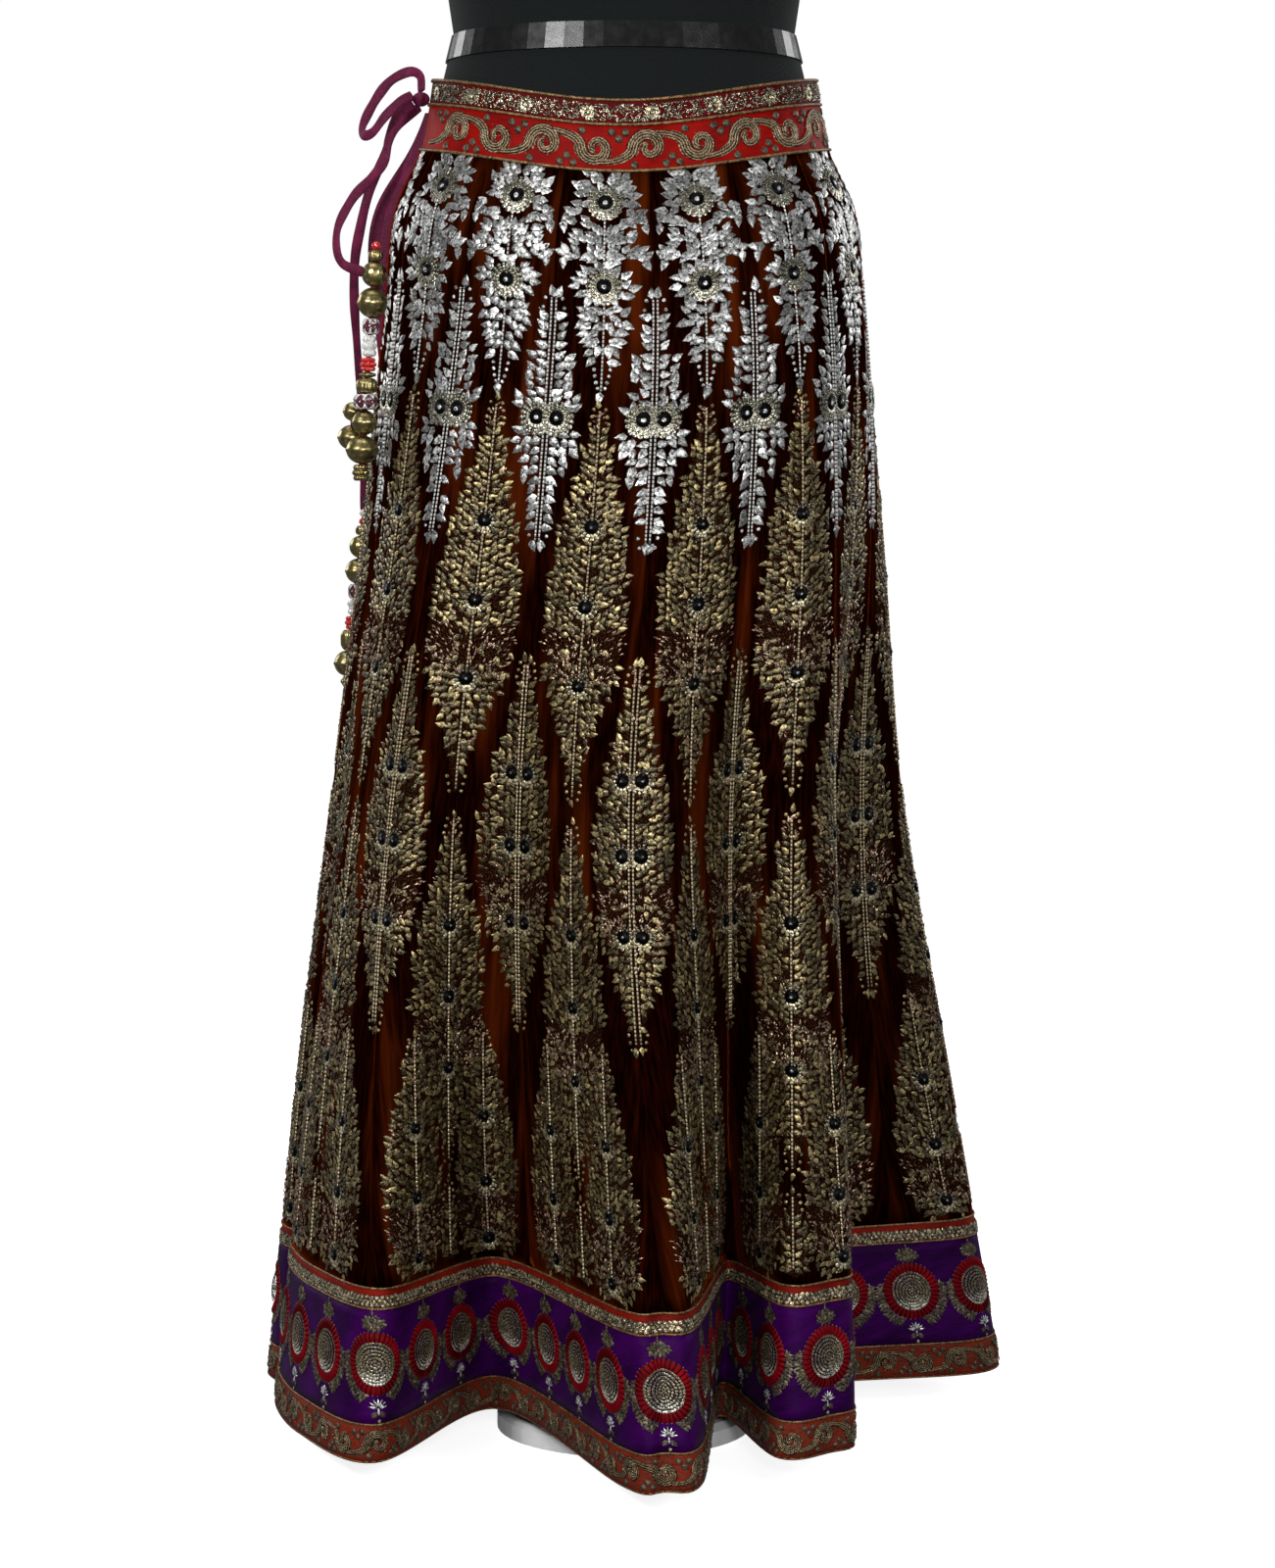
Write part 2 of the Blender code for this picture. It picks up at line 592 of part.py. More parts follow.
def tassel(prefix, top, lean, beads):
    """A column of beads threaded on the drawstring's end, each a hair apart, leaning off the cloth."""
    x, y, z = top
    for bead in beads:
        z -= bead["height"] / 2
        colour = "red_glass" if bead["name"].startswith("red") else "antique_brass"
        profile = bead_profile(bead["profile"], bead["radius"], bead["height"])
        centre = (x - lean * (top[2] - z), y, z)
        turned(f"{prefix}_{bead['name']}", centre, profile, BEAD_SIDES, colour)
        z -= bead["height"] / 2 + BEAD_GAP


def drawstring():
    """The knot beside the opening, its bow loop and the two tails that carry the tassels."""
    knot = bead_profile("ball", 0.0062, 0.0104)
    turned("tie_knot", KNOT_CENTRE, knot, 12, "wine_cloth")
    tie("tie_loop_upper", UPPER_LOOP, 18)
    tie("tie_tail_front", FRONT_TAIL, 18)
    tie("tie_tail_back", BACK_TAIL, 26)
    tassel("tassel_front", FRONT_TASSEL_TOP, FRONT_TASSEL_LEAN, FRONT_TASSEL)
    tassel("tassel_back", BACK_TASSEL_TOP, BACK_TASSEL_LEAN, BACK_TASSEL)


def skirt():
    """Thirteen gores and two half gores, the three border bands, two waistbands and the gusset."""
    gore("kali_side_front", 0)
    for index in range(1, GORES):
        gore(f"kali_{index:02d}", index)
    gore("kali_side_back", GORES)
    beaded, purple, scroll, hem = BORDER_LEVELS
    border_band("hem_band_beaded", beaded, purple, 1, "border_beadwork")
    border_band("hem_band_purple", purple, scroll, 1, "border_purple")
    border_band("hem_band_scroll", scroll, hem, 1, "border_red")
    waist_band("waistband_upper", 0.0, UPPER_BAND_HEIGHT - SEAM_GAP / 2, "band_beadwork")
    waist_band("waistband_lower", UPPER_BAND_HEIGHT + SEAM_GAP / 2, BAND_HEIGHT - SEAM_GAP, "band_silk")
    side_gusset()


clear_scene()
skirt()
dress_form()
drawstring()
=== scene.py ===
# %% [markdown]
# An embroidered velvet lehenga on a dress form
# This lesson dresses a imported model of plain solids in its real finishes. The solids are a fixed
# frame: every new piece is worked out on the same cloth surface that they were cut from, so
# nothing has to be fitted afterwards.

# %% Load the frame
import math

import bpy
import numpy as np
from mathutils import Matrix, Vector


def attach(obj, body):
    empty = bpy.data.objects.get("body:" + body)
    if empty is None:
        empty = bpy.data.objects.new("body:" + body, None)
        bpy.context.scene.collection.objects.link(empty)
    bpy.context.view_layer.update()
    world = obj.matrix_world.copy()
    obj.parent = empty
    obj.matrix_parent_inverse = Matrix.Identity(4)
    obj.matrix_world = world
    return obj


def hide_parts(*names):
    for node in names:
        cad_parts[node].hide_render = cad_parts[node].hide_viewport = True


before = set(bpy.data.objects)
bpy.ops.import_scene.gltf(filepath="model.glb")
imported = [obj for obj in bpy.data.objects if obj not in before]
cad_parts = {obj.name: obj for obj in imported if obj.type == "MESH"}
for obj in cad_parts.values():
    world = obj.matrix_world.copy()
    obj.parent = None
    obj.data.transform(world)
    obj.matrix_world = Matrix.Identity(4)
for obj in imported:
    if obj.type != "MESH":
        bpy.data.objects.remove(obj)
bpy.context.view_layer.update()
print("nodes in the frame:", len(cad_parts))

# %% [markdown]
# Camera first. The photograph looks straight at the front from waist height, tipped down a few
# degrees. A long lens 2.55 m away gives its mild perspective.

# %% Camera, floor and studio light
CAMERA_DISTANCE = 2.549
CAMERA_HEIGHT = 0.681
CAMERA_TIP = math.radians(4.647)
LENS_IN_FRAME_HEIGHTS = 3583.0 / 1600.0
AXIS_OFF_CENTRE = (650.5 - 637.0) / 3583.0


def add_camera():
    """Aim the camera level from the front, then tip it down and pan it a touch."""
    data = bpy.data.cameras.new("camera")
    data.sensor_fit = "VERTICAL"
    data.sensor_height = 36.0
    data.lens = LENS_IN_FRAME_HEIGHTS * data.sensor_height
    camera = bpy.data.objects.new("camera", data)
    bpy.context.scene.collection.objects.link(camera)
    sideways = AXIS_OFF_CENTRE * CAMERA_DISTANCE
    camera.location = (sideways, -CAMERA_DISTANCE, CAMERA_HEIGHT)
    camera.rotation_euler = (math.pi / 2 - CAMERA_TIP, 0.0, 0.0)
    bpy.context.scene.camera = camera


def add_area(name, place, aim, size, power, colour=(1.0, 1.0, 1.0)):
    """A square soft box at a place, aimed at a point."""
    data = bpy.data.lights.new(name, "AREA")
    data.size = size
    data.energy = power
    data.color = colour
    light = bpy.data.objects.new(name, data)
    light.location = place
    light.rotation_euler = (Vector(aim) - Vector(place)).to_track_quat("-Z", "Y").to_euler()
    bpy.context.scene.collection.objects.link(light)


def add_world():
    """A white studio: what the camera sees is pure white, and what lights the cloth is dimmer."""
    world = bpy.data.worlds.new("studio")
    world.use_nodes = True
    nodes, links = world.node_tree.nodes, world.node_tree.links
    lit = nodes["Background"]
    lit.inputs["Color"].default_value = (0.92, 0.94, 1.0, 1.0)
    lit.inputs["Strength"].default_value = 0.16
    seen = nodes.new("ShaderNodeBackground")
    seen.inputs["Strength"].default_value = 1.0
    seen.inputs["Color"].default_value = (1.0, 1.0, 1.0, 1.0)
    path = nodes.new("ShaderNodeLightPath")
    mix = nodes.new("ShaderNodeMixShader")
    links.new(path.outputs["Is Camera Ray"], mix.inputs[0])
    links.new(lit.outputs[0], mix.inputs[1])
    links.new(seen.outputs[0], mix.inputs[2])
    links.new(mix.outputs[0], nodes["World Output"].inputs["Surface"])
    bpy.context.scene.world = world


add_camera()
add_world()
SKIRT_MIDDLE = (0.0, 0.0, 0.55)
add_area("key_left", (-1.5, -2.3, 1.9), SKIRT_MIDDLE, 0.45, 44.0)
add_area("key_right", (1.7, -2.1, 1.5), SKIRT_MIDDLE, 0.45, 16.0)
add_area("front_low", (0.2, -2.7, 1.0), SKIRT_MIDDLE, 0.35, 20.0)
add_area("rim_right", (1.9, 1.4, 1.4), SKIRT_MIDDLE, 0.9, 12.0)
add_area("rim_left", (-1.9, 1.4, 1.4), SKIRT_MIDDLE, 0.9, 12.0)
add_area("overhead", (0.0, 0.3, 3.6), (0.0, 0.0, 0.0), 3.0, 45.0)
bpy.context.scene.view_settings.view_transform = "Standard"

# %% [markdown]
# A material is a small sum on sockets. The class below wraps a socket, so that a + b or a * 2 adds
# its Math node. Any other node comes from one method that takes its type, settings and sockets.

# %% Shader maths


class Wire:
    """A socket whose arithmetic adds Math nodes."""

    def __init__(self, desk, socket):
        self.desk = desk
        self.socket = socket

    def math(self, operation, *operands):
        return self.desk.node("ShaderNodeMath", {"operation": operation}, dict(enumerate(operands)))

    def __add__(self, other):
        return self.math("ADD", self, other)

    def __sub__(self, other):
        return self.math("SUBTRACT", self, other)

    def __mul__(self, other):
        return self.math("MULTIPLY", self, other)

    def sine(self):
        return self.math("SINE", self)

    def size(self):
        return self.math("ABSOLUTE", self)

    def ramp(self, low, high):
        """0 below low and 1 above high, smooth between."""
        sockets = {"Value": self, "From Min": low, "From Max": high}
        return self.desk.node("ShaderNodeMapRange", {"interpolation_type": "SMOOTHSTEP"}, sockets)


class Desk:
    """One material being wired, with its Principled shader."""

    def __init__(self, name, roughness=0.5, metallic=0.0, **fixed):
        self.material = bpy.data.materials.new(name)
        self.material.use_nodes = True
        self.tree = self.material.node_tree
        self.shader = self.tree.nodes["Principled BSDF"]
        self.shader.inputs["Roughness"].default_value = roughness
        self.shader.inputs["Metallic"].default_value = metallic
        for socket, value in fixed.items():
            self.shader.inputs[socket.replace("_", " ")].default_value = value

    def feed(self, target, value):
        """Link a wire to a socket, or set the socket's number or colour."""
        if isinstance(value, Wire):
            self.tree.links.new(value.socket, target)
        elif hasattr(value, "__len__") and len(value) == 3 and target.type == "RGBA":
            target.default_value = (*value, 1.0)
        else:
            target.default_value = value

    def node(self, kind, settings=None, sockets=None, output=0):
        """Add a node: its settings first, then its sockets, by name or number."""
        made = self.tree.nodes.new(kind)
        for key, value in (settings or {}).items():
            setattr(made, key, value)
        for key, value in (sockets or {}).items():
            self.feed(made.inputs[key], value)
        return Wire(self, made.outputs[output])

    def place(self):
        """The piece's own coordinates in metres."""
        return self.node("ShaderNodeTexCoord", output="Object")

    def uv(self):
        """The piece's UV map."""
        return self.node("ShaderNodeTexCoord", output="UV")

    def parts(self, vector):
        """A vector's three numbers, each as its own wire."""
        split = self.node("ShaderNodeSeparateXYZ", {}, {0: vector})
        return [Wire(self, output) for output in split.socket.node.outputs]

    def noise(self, scale, detail=3.0, roughness=0.55, where=None):
        sockets = {"Scale": scale, "Detail": detail, "Roughness": roughness}
        sockets["Vector"] = where or self.place()
        return self.node("ShaderNodeTexNoise", {}, sockets)

    def cells(self, scale):
        return self.node("ShaderNodeTexVoronoi", {}, {"Scale": scale, "Vector": self.place()})

    def blend(self, share, first, second):
        """Mix two colours by a share."""
        made = self.tree.nodes.new("ShaderNodeMix")
        made.data_type = "RGBA"
        self.feed(made.inputs[0], share)
        self.feed(made.inputs[6], first)
        self.feed(made.inputs[7], second)
        return Wire(self, made.outputs[2])

    def colour(self, value):
        self.feed(self.shader.inputs["Base Color"], value)

    def rough(self, value):
        self.feed(self.shader.inputs["Roughness"], value)

    def bump(self, height, strength, distance):
        sockets = {"Strength": strength, "Distance": distance, "Height": height}
        made = self.node("ShaderNodeBump", {}, sockets)
        self.feed(self.shader.inputs["Normal"], made)


# %% [markdown]
# The cloth is one surface. Its levels are ellipses that widen downwards. The hem is a closed curve
# through each fold's two shoulders, crest and valley, and a level between takes a growing share of
# the hem's folding. Each level is then read evenly along its own length, as sewn cloth is.

# %% The cloth surface
GORES = 14
HEM_Z = 0.024
WAIST_TOP_BACK_Z = 0.984
WAIST_FRONT_DIP = 0.029
BAND_HEIGHT = 0.051
UPPER_BAND_HEIGHT = 0.018
CLOTH_HEIGHT = 0.900
BORDER = {"beaded": 0.014, "purple": 0.079, "scroll": 0.026}
OPENING_ANGLE = -81.0
HEM_START_ANGLE = -107.0
PLACKET_FRONT = 0.003
PLACKET_BACK = 0.026
PLACKET_END = 0.17
FOLD_START = 0.10
FOLD_GROWTH = 1.60
SEAM_GAP = 0.0003
RING_SAMPLES = 2880

# Height fraction, half width, half depth and sideways lean
CONE = np.array([
    (-0.060, 0.1365, 0.1045, 0.000),
    (0.000, 0.1470, 0.1130, 0.000),
    (0.042, 0.1640, 0.1270, 0.000),
    (0.120, 0.1725, 0.1410, 0.000),
    (0.280, 0.1860, 0.1640, -0.001),
    (0.500, 0.2050, 0.1880, -0.007),
    (0.750, 0.2350, 0.2120, -0.005),
    (1.000, 0.2620, 0.2350, 0.000),
    (1.060, 0.2680, 0.2400, 0.000),
])

# Crest angle, reach, half breadth, shoulder drop, valley angle and valley reach
FOLDS = [
    (-63, 0.258, 0.096, 0.020, -61, 0.105),
    (6, 0.267, 0.027, 0.017, 44, 0.098),
    (40, 0.221, 0.036, 0.015, 92, 0.115),
    (114, 0.300, 0.060, 0.032, 138, 0.130),
    (157, 0.285, 0.042, 0.018, 175, 0.125),
    (192, 0.272, 0.044, 0.018, 209, 0.130),
    (226, 0.290, 0.046, 0.018, 242, 0.150),
    (256, 0.277, 0.030, 0.014, 270, 0.236),
]


def smooth_column(column, at, table=CONE):
    """Read a column of the cone, or another table, at a key by cubic pieces with matched slopes."""
    keys = table[:, 0]
    values = table[:, column]
    slopes = np.gradient(values, keys)
    at = min(max(at, keys[0]), keys[-1])
    low = min(max(int(np.searchsorted(keys, at, side="right")) - 1, 0), len(keys) - 2)
    step = keys[low + 1] - keys[low]
    s = (at - keys[low]) / step
    rise = values[low + 1] - values[low]
    start = slopes[low] * step
    end = slopes[low + 1] * step
    return values[low] + s * start + s**2 * (3 * rise - 2 * start - end) + s**3 * (start + end - 2 * rise)


def polar(angle, reach):
    """A point in plan: reach times (sine, minus cosine) of the angle from the front."""
    turn = np.radians(angle)
    return np.stack([reach * np.sin(turn), -reach * np.cos(turn)], axis=-1)


def by_arc_length(points, fractions):
    """Read a dense curve at fractions of its own length."""
    steps = np.linalg.norm(np.diff(points, axis=0), axis=1)
    length = np.concatenate([[0.0], np.cumsum(steps)])
    return np.stack([np.interp(fractions * length[-1], length, axis) for axis in points.T], axis=-1)


def route_length(path):
    """A path's length."""
    return float(np.linalg.norm(np.diff(path, axis=0), axis=1).sum())


def catmull_rom(p0, p1, p2, p3, s):
    """The cubic that passes p1 and p2 with slopes (p2 - p0) / 2 and (p3 - p1) / 2."""
    return p1 + 0.5 * s * (p2 - p0 + s * (2 * p0 - 5 * p1 + 4 * p2 - p3 + s * (3 * (p1 - p2) + p3 - p0)))


def hem_plan():
    """The hem from above, started at the opening's line and read evenly."""
    outline = []
    for angle, reach, half, drop, valley, depth in FOLDS:
        crest = polar(angle, reach)
        shoulder = crest - drop * polar(angle, 1.0)
        along = polar(angle + 90, 1.0)
        outline += [shoulder - half * along, crest, shoulder + half * along, polar(valley, depth)]
    points = np.array(outline)
    s = np.linspace(0, 1, 60, endpoint=False)[None, :, None]
    spans = [np.roll(points, shift, axis=0)[:, None, :] for shift in (1, 0, -1, -2)]
    curve = catmull_rom(*spans, s).reshape(-1, 2)
    angle = np.degrees(np.arctan2(curve[:, 0], -curve[:, 1]))
    inner = np.linalg.norm(curve, axis=1) < 0.2
    curve = np.roll(curve, -int(np.argmin(np.abs(angle - HEM_START_ANGLE) + 1000.0 * inner)), axis=0)
    return by_arc_length(np.vstack([curve, curve[:1]]), np.linspace(0, 1, RING_SAMPLES + 1))


EVENLY = np.linspace(0, 1, RING_SAMPLES + 1)
RING_TURN = np.radians(OPENING_ANGLE + 360 * EVENLY)


def plain_ring(fraction):
    """One level without folds: an ellipse read evenly along its length."""
    half_width, half_depth, sideways = (smooth_column(column, fraction) for column in (1, 2, 3))
    ellipse = [sideways + half_width * np.sin(RING_TURN), -half_depth * np.cos(RING_TURN)]
    return by_arc_length(np.stack(ellipse, axis=-1), EVENLY)


HEM_FOLDING = hem_plan() - plain_ring(1.0)
WAIST_RING = plain_ring(0.0)
WAIST_LIFT = ((1 - WAIST_RING[:, 1] / np.linalg.norm(WAIST_RING, axis=1)) / 2) ** 3
WAIST_Z = WAIST_TOP_BACK_Z - BAND_HEIGHT - WAIST_FRONT_DIP * WAIST_LIFT
LEVELS = np.linspace(-0.0600, 1.0, 266)


def cloth_level(fraction):
    """One level of the cloth: plan plus a share of the folding, its height and its outward normal."""
    share = max(0.0, (fraction - FOLD_START) / (1 - FOLD_START)) ** FOLD_GROWTH
    plan = plain_ring(fraction) + share * HEM_FOLDING
    length = route_length(plan)
    plan = by_arc_length(plan, EVENLY)
    height = WAIST_Z + (HEM_Z - WAIST_Z) * fraction if fraction >= 0 else WAIST_Z - fraction * CLOTH_HEIGHT
    tangent = np.gradient(plan, axis=0)
    tangent[0] = tangent[-1] = plan[1] - plan[-2]
    normal = np.stack([tangent[:, 1], -tangent[:, 0], np.zeros(len(plan))], axis=-1)
    normal /= np.linalg.norm(normal, axis=1, keepdims=True)
    return np.column_stack([plan, height]), normal, length


LEVEL_POINTS, LEVEL_NORMALS, LEVEL_LENGTHS = (np.array(part) for part in zip(*map(cloth_level, LEVELS)))


def ring_length(fraction):
    """The cloth's length round one level."""
    return np.interp(fraction, LEVELS, LEVEL_LENGTHS)


def read_grid(grid, share, fraction):
    """Read a table of levels at any share round and fraction down, blending the four nearest."""
    column = np.mod(share, 1.0) * RING_SAMPLES
    row = np.clip((fraction - LEVELS[0]) / (LEVELS[1] - LEVELS[0]), 0, len(LEVELS) - 1.001)
    c = np.minimum(column.astype(int), RING_SAMPLES - 1)
    r = row.astype(int)
    x = (column - c)[..., None]
    y = (row - r)[..., None]
    top = grid[r, c] * (1 - x) + grid[r, c + 1] * x
    low = grid[r + 1, c] * (1 - x) + grid[r + 1, c + 1] * x
    return top * (1 - y) + low * y


# Soft creases in the velvet: share round, top and bottom fraction, lean, breadth and depth
CREASES = [
    (0.040, 0.01, 0.30, 0.020, 0.0050, 0.0016),
    (0.086, 0.02, 0.22, -0.012, 0.0042, -0.0012),
    (0.125, 0.05, 0.55, 0.010, 0.0060, 0.0018),
    (0.178, 0.00, 0.26, 0.008, 0.0040, -0.0014),
    (0.205, 0.12, 0.70, -0.006, 0.0055, 0.0020),
    (0.262, 0.03, 0.34, -0.010, 0.0046, -0.0013),
    (0.300, 0.10, 0.62, 0.012, 0.0058, 0.0018),
    (0.347, 0.00, 0.24, -0.009, 0.0040, 0.0014),
    (0.391, 0.06, 0.48, 0.008, 0.0052, -0.0016),
    (0.452, 0.02, 0.36, -0.014, 0.0048, 0.0015),
    (0.520, 0.08, 0.58, 0.010, 0.0060, -0.0018),
    (0.585, 0.01, 0.28, 0.012, 0.0042, 0.0014),
    (0.648, 0.10, 0.66, -0.010, 0.0056, 0.0019),
    (0.705, 0.02, 0.31, 0.009, 0.0044, -0.0013),
    (0.771, 0.05, 0.52, -0.012, 0.0055, 0.0017),
    (0.838, 0.00, 0.29, 0.010, 0.0045, -0.0014),
    (0.905, 0.07, 0.60, -0.008, 0.0058, 0.0018),
    (0.962, 0.02, 0.33, 0.012, 0.0046, 0.0013),
]


def creasing(share, fraction):
    """How far the creases lift the cloth: a soft bell across each, fading at its two ends."""
    lift = np.zeros(np.broadcast(share, fraction).shape)
    for middle, top, bottom, lean, breadth, depth in CREASES:
        along = np.clip((fraction - top) / (bottom - top), 0, 1)
        off = np.mod(share - middle - lean * along + 0.5, 1.0) - 0.5
        lift = lift + depth * np.sin(np.pi * along) ** 2 * np.exp(-((off / breadth) ** 2))
    return lift


def cloth(share, fraction, outward=0.0):
    """Points on the cloth at shares and fractions, moved outward along its normal."""
    share, fraction = np.broadcast_arrays(np.asarray(share, float), np.asarray(fraction, float))
    lift = (outward + creasing(share, fraction))[..., None]
    return read_grid(LEVEL_POINTS, share, fraction) + lift * read_grid(LEVEL_NORMALS, share, fraction)


def near(anchor_share, anchor_fraction, across, down, outward):
    """Points laid out in metres from an anchor on the cloth: across it, down it and off it."""
    fraction = anchor_fraction + down / CLOTH_HEIGHT
    return cloth(anchor_share + across / ring_length(fraction), fraction, outward)


print("hem length round the folds:", round(float(ring_length(1.0)), 3), "m")

# %% [markdown]
# Every piece is a grid of points or many copies of a small template, turned into a mesh in one go.

# %% Making a piece


def add_piece(name, points, faces, material, uv=None, stands_for=()):
    """Make one mesh at the origin from points and arrays of faces, and ride it on the model."""
    points = np.ascontiguousarray(points, dtype=np.float32).reshape(-1, 3)
    faces = [np.asarray(block, dtype=np.int32) for block in (faces if isinstance(faces, list) else [faces])]
    loops = np.concatenate([block.ravel() for block in faces])
    sizes = np.concatenate([np.full(len(block), block.shape[1]) for block in faces])
    mesh = bpy.data.meshes.new(name)
    mesh.vertices.add(len(points))
    mesh.vertices.foreach_set("co", points.ravel())
    mesh.loops.add(len(loops))
    mesh.loops.foreach_set("vertex_index", loops)
    mesh.polygons.add(len(sizes))
    mesh.polygons.foreach_set("loop_start", np.concatenate([[0], np.cumsum(sizes)[:-1]]).astype(np.int32))
    mesh.update(calc_edges=True)
    mesh.polygons.foreach_set("use_smooth", np.ones(len(sizes), dtype=bool))
    if uv is not None:
        layer = mesh.uv_layers.new(name="UVMap")
        layer.data.foreach_set("uv", np.asarray(uv, dtype=np.float32).reshape(-1, 2)[loops].ravel())
    mesh.materials.append(material)
    made = bpy.data.objects.new(name, mesh)
    bpy.context.scene.collection.objects.link(made)
    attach(made, "root")
    if stands_for:
        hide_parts(*stands_for)
    return made


def grid_quads(rows, columns, closed=True, start=0):
    """A grid's point numbers, and quads whose corners go round first and then down."""
    index = np.arange(rows * columns).reshape(rows, columns) + start
    if closed:
        index = np.concatenate([index, index[:, :1]], axis=1)
    corners = [index[:-1, :-1], index[:-1, 1:], index[1:, 1:], index[1:, :-1]]
    return index, np.stack(corners, axis=-1).reshape(-1, 4)


def wall_faces(rows, columns, closed):
    """Quads of a wall between an outer and an inner grid, rows going down and columns going round."""
    index, quads = grid_quads(rows, columns, closed)
    count = rows * columns
    outer = quads[:, [0, 3, 2, 1]]
    inner = outer[:, ::-1] + count
    top = np.stack([index[0, :-1], index[0, 1:], index[0, 1:] + count, index[0, :-1] + count], axis=-1)
    low = np.stack([index[-1, 1:], index[-1, :-1], index[-1, :-1] + count, index[-1, 1:] + count], axis=-1)
    blocks = [outer, inner, top, low]
    if not closed:
        for column, flip in ((index[:, 0], 1), (index[:, -1], -1)):
            side = np.stack([column[:-1], column[:-1] + count, column[1:] + count, column[1:]], axis=-1)
            blocks.append(side[:, ::flip])
    return np.concatenate(blocks)


def tube_grid(path, radius_out, radius_side, sides, out, closed=False):
    """Carry an oval along a path: one axis along out, the other across both."""
    along = np.gradient(path, axis=0)
    if closed:
        along[0] = along[-1] = path[1] - path[-2]
    along /= np.linalg.norm(along, axis=1, keepdims=True)
    side = np.cross(along, out)
    side /= np.linalg.norm(side, axis=1, keepdims=True)
    up = np.cross(side, along)
    turn = np.linspace(0, 2 * np.pi, sides, endpoint=False)
    radius_out = np.broadcast_to(radius_out, len(path))[:, None, None]
    radius_side = np.broadcast_to(radius_side, len(path))[:, None, None]
    oval = radius_side * np.cos(turn)[None, :, None] * side[:, None, :]
    return path[:, None, :] + oval + radius_out * np.sin(turn)[None, :, None] * up[:, None, :]


def tube_faces(count, sides, start=0, flip=False):
    """Quads between the rings of a tube. The caller adds its caps."""
    ring = np.arange(count - 1)[:, None] * sides
    side = np.arange(sides)[None, :]
    nxt = (side + 1) % sides
    quads = np.stack([ring + side, ring + nxt, ring + sides + nxt, ring + sides + side], axis=-1)
    quads = quads.reshape(-1, 4) + start
    return quads[:, ::-1] if flip else quads


def cap_faces(sides, first, flip):
    """One closing face over a ring of points."""
    ring = np.arange(sides) + first
    return (ring[::-1] if flip else ring)[None, :]


def join_tubes(name, tubes, material, uv=None, stands_for=()):
    """Join several open tubes with flat caps into one piece."""
    points = []
    quads = []
    caps = []
    start = 0
    for grid in tubes:
        count, sides = grid.shape[:2]
        points.append(grid.reshape(-1, 3))
        quads.append(tube_faces(count, sides, start, flip=True))
        caps.append(cap_faces(sides, start, flip=False))
        caps.append(cap_faces(sides, start + (count - 1) * sides, flip=True))
        start += count * sides
    faces = [np.concatenate(quads), np.concatenate(caps)]
    return add_piece(name, np.concatenate(points), faces, material, uv, stands_for)


class Template:
    """A small shape laid on the cloth many times: points across, down and off it, and its faces."""

    def __init__(self, points, faces, edge):
        self.points = np.array(points, float)
        self.faces = np.array(faces)
        self.edge = np.array(edge, float)


def dome(sides, shoulder):
    """A round cushion: a rim, a shoulder ring and a crown point."""
    turn = np.linspace(0, 2 * np.pi, sides, endpoint=False)
    across, down = np.sin(turn), np.cos(turn)
    foot = np.stack([across, down, np.zeros(sides)], axis=-1)
    ring = np.stack([across * shoulder, down * shoulder, np.full(sides, 0.8)], axis=-1)
    points = np.vstack([foot, ring, [[0, 0, 1]]])
    side = np.arange(sides)
    nxt = (side + 1) % sides
    lower = np.stack([side, nxt, nxt + sides], axis=-1)
    middle = np.stack([side, nxt + sides, side + sides], axis=-1)
    upper = np.stack([side + sides, nxt + sides, np.full(sides, 2 * sides)], axis=-1)
    edge = np.concatenate([np.ones(sides), np.full(sides, shoulder), [0.0]])
    return Template(points, np.concatenate([lower, middle, upper])[:, ::-1], edge)


def simple_dome(sides):
    """The plain cushion of a tiny bead: a rim and a crown point."""
    turn = np.linspace(0, 2 * np.pi, sides, endpoint=False)
    foot = np.stack([np.sin(turn), np.cos(turn), np.zeros(sides)], axis=-1)
    side = np.arange(sides)
    faces = np.stack([side, (side + 1) % sides, np.full(sides, sides)], axis=-1)
    return Template(np.vstack([foot, [[0, 0, 1]]]), faces[:, ::-1], np.append(np.ones(sides), 0.0))


def ridged_leaf():
    """A foil leaf: round at its foot, pointed at its upper tip, and creased along a raised middle."""
    turn = np.radians([0, 38, 76, 118, 180, 242, 284, 322])
    narrow = np.abs(np.sin(turn)) * np.sin(0.5 * turn) ** 1.25 * 1.36
    rim = np.stack([np.sign(np.sin(turn)) * narrow, -np.cos(turn), np.zeros(8)], axis=-1)
    ridge = [[0.0, -0.45, 0.75], [0.0, 0.35, 1.0]]
    faces = [(0, 1, 8), (1, 2, 8), (2, 9, 8), (2, 3, 9), (3, 4, 9),
             (4, 5, 9), (5, 6, 9), (6, 8, 9), (6, 7, 8), (7, 0, 8)]
    return Template(np.vstack([rim, ridge]), np.array(faces), np.append(np.ones(8), [0.0, 0.0]))


LEAF = ridged_leaf()
BEAD = simple_dome(6)
COIL = simple_dome(4)
BERRY = simple_dome(8)
BUTTON = dome(12, shoulder=0.8)


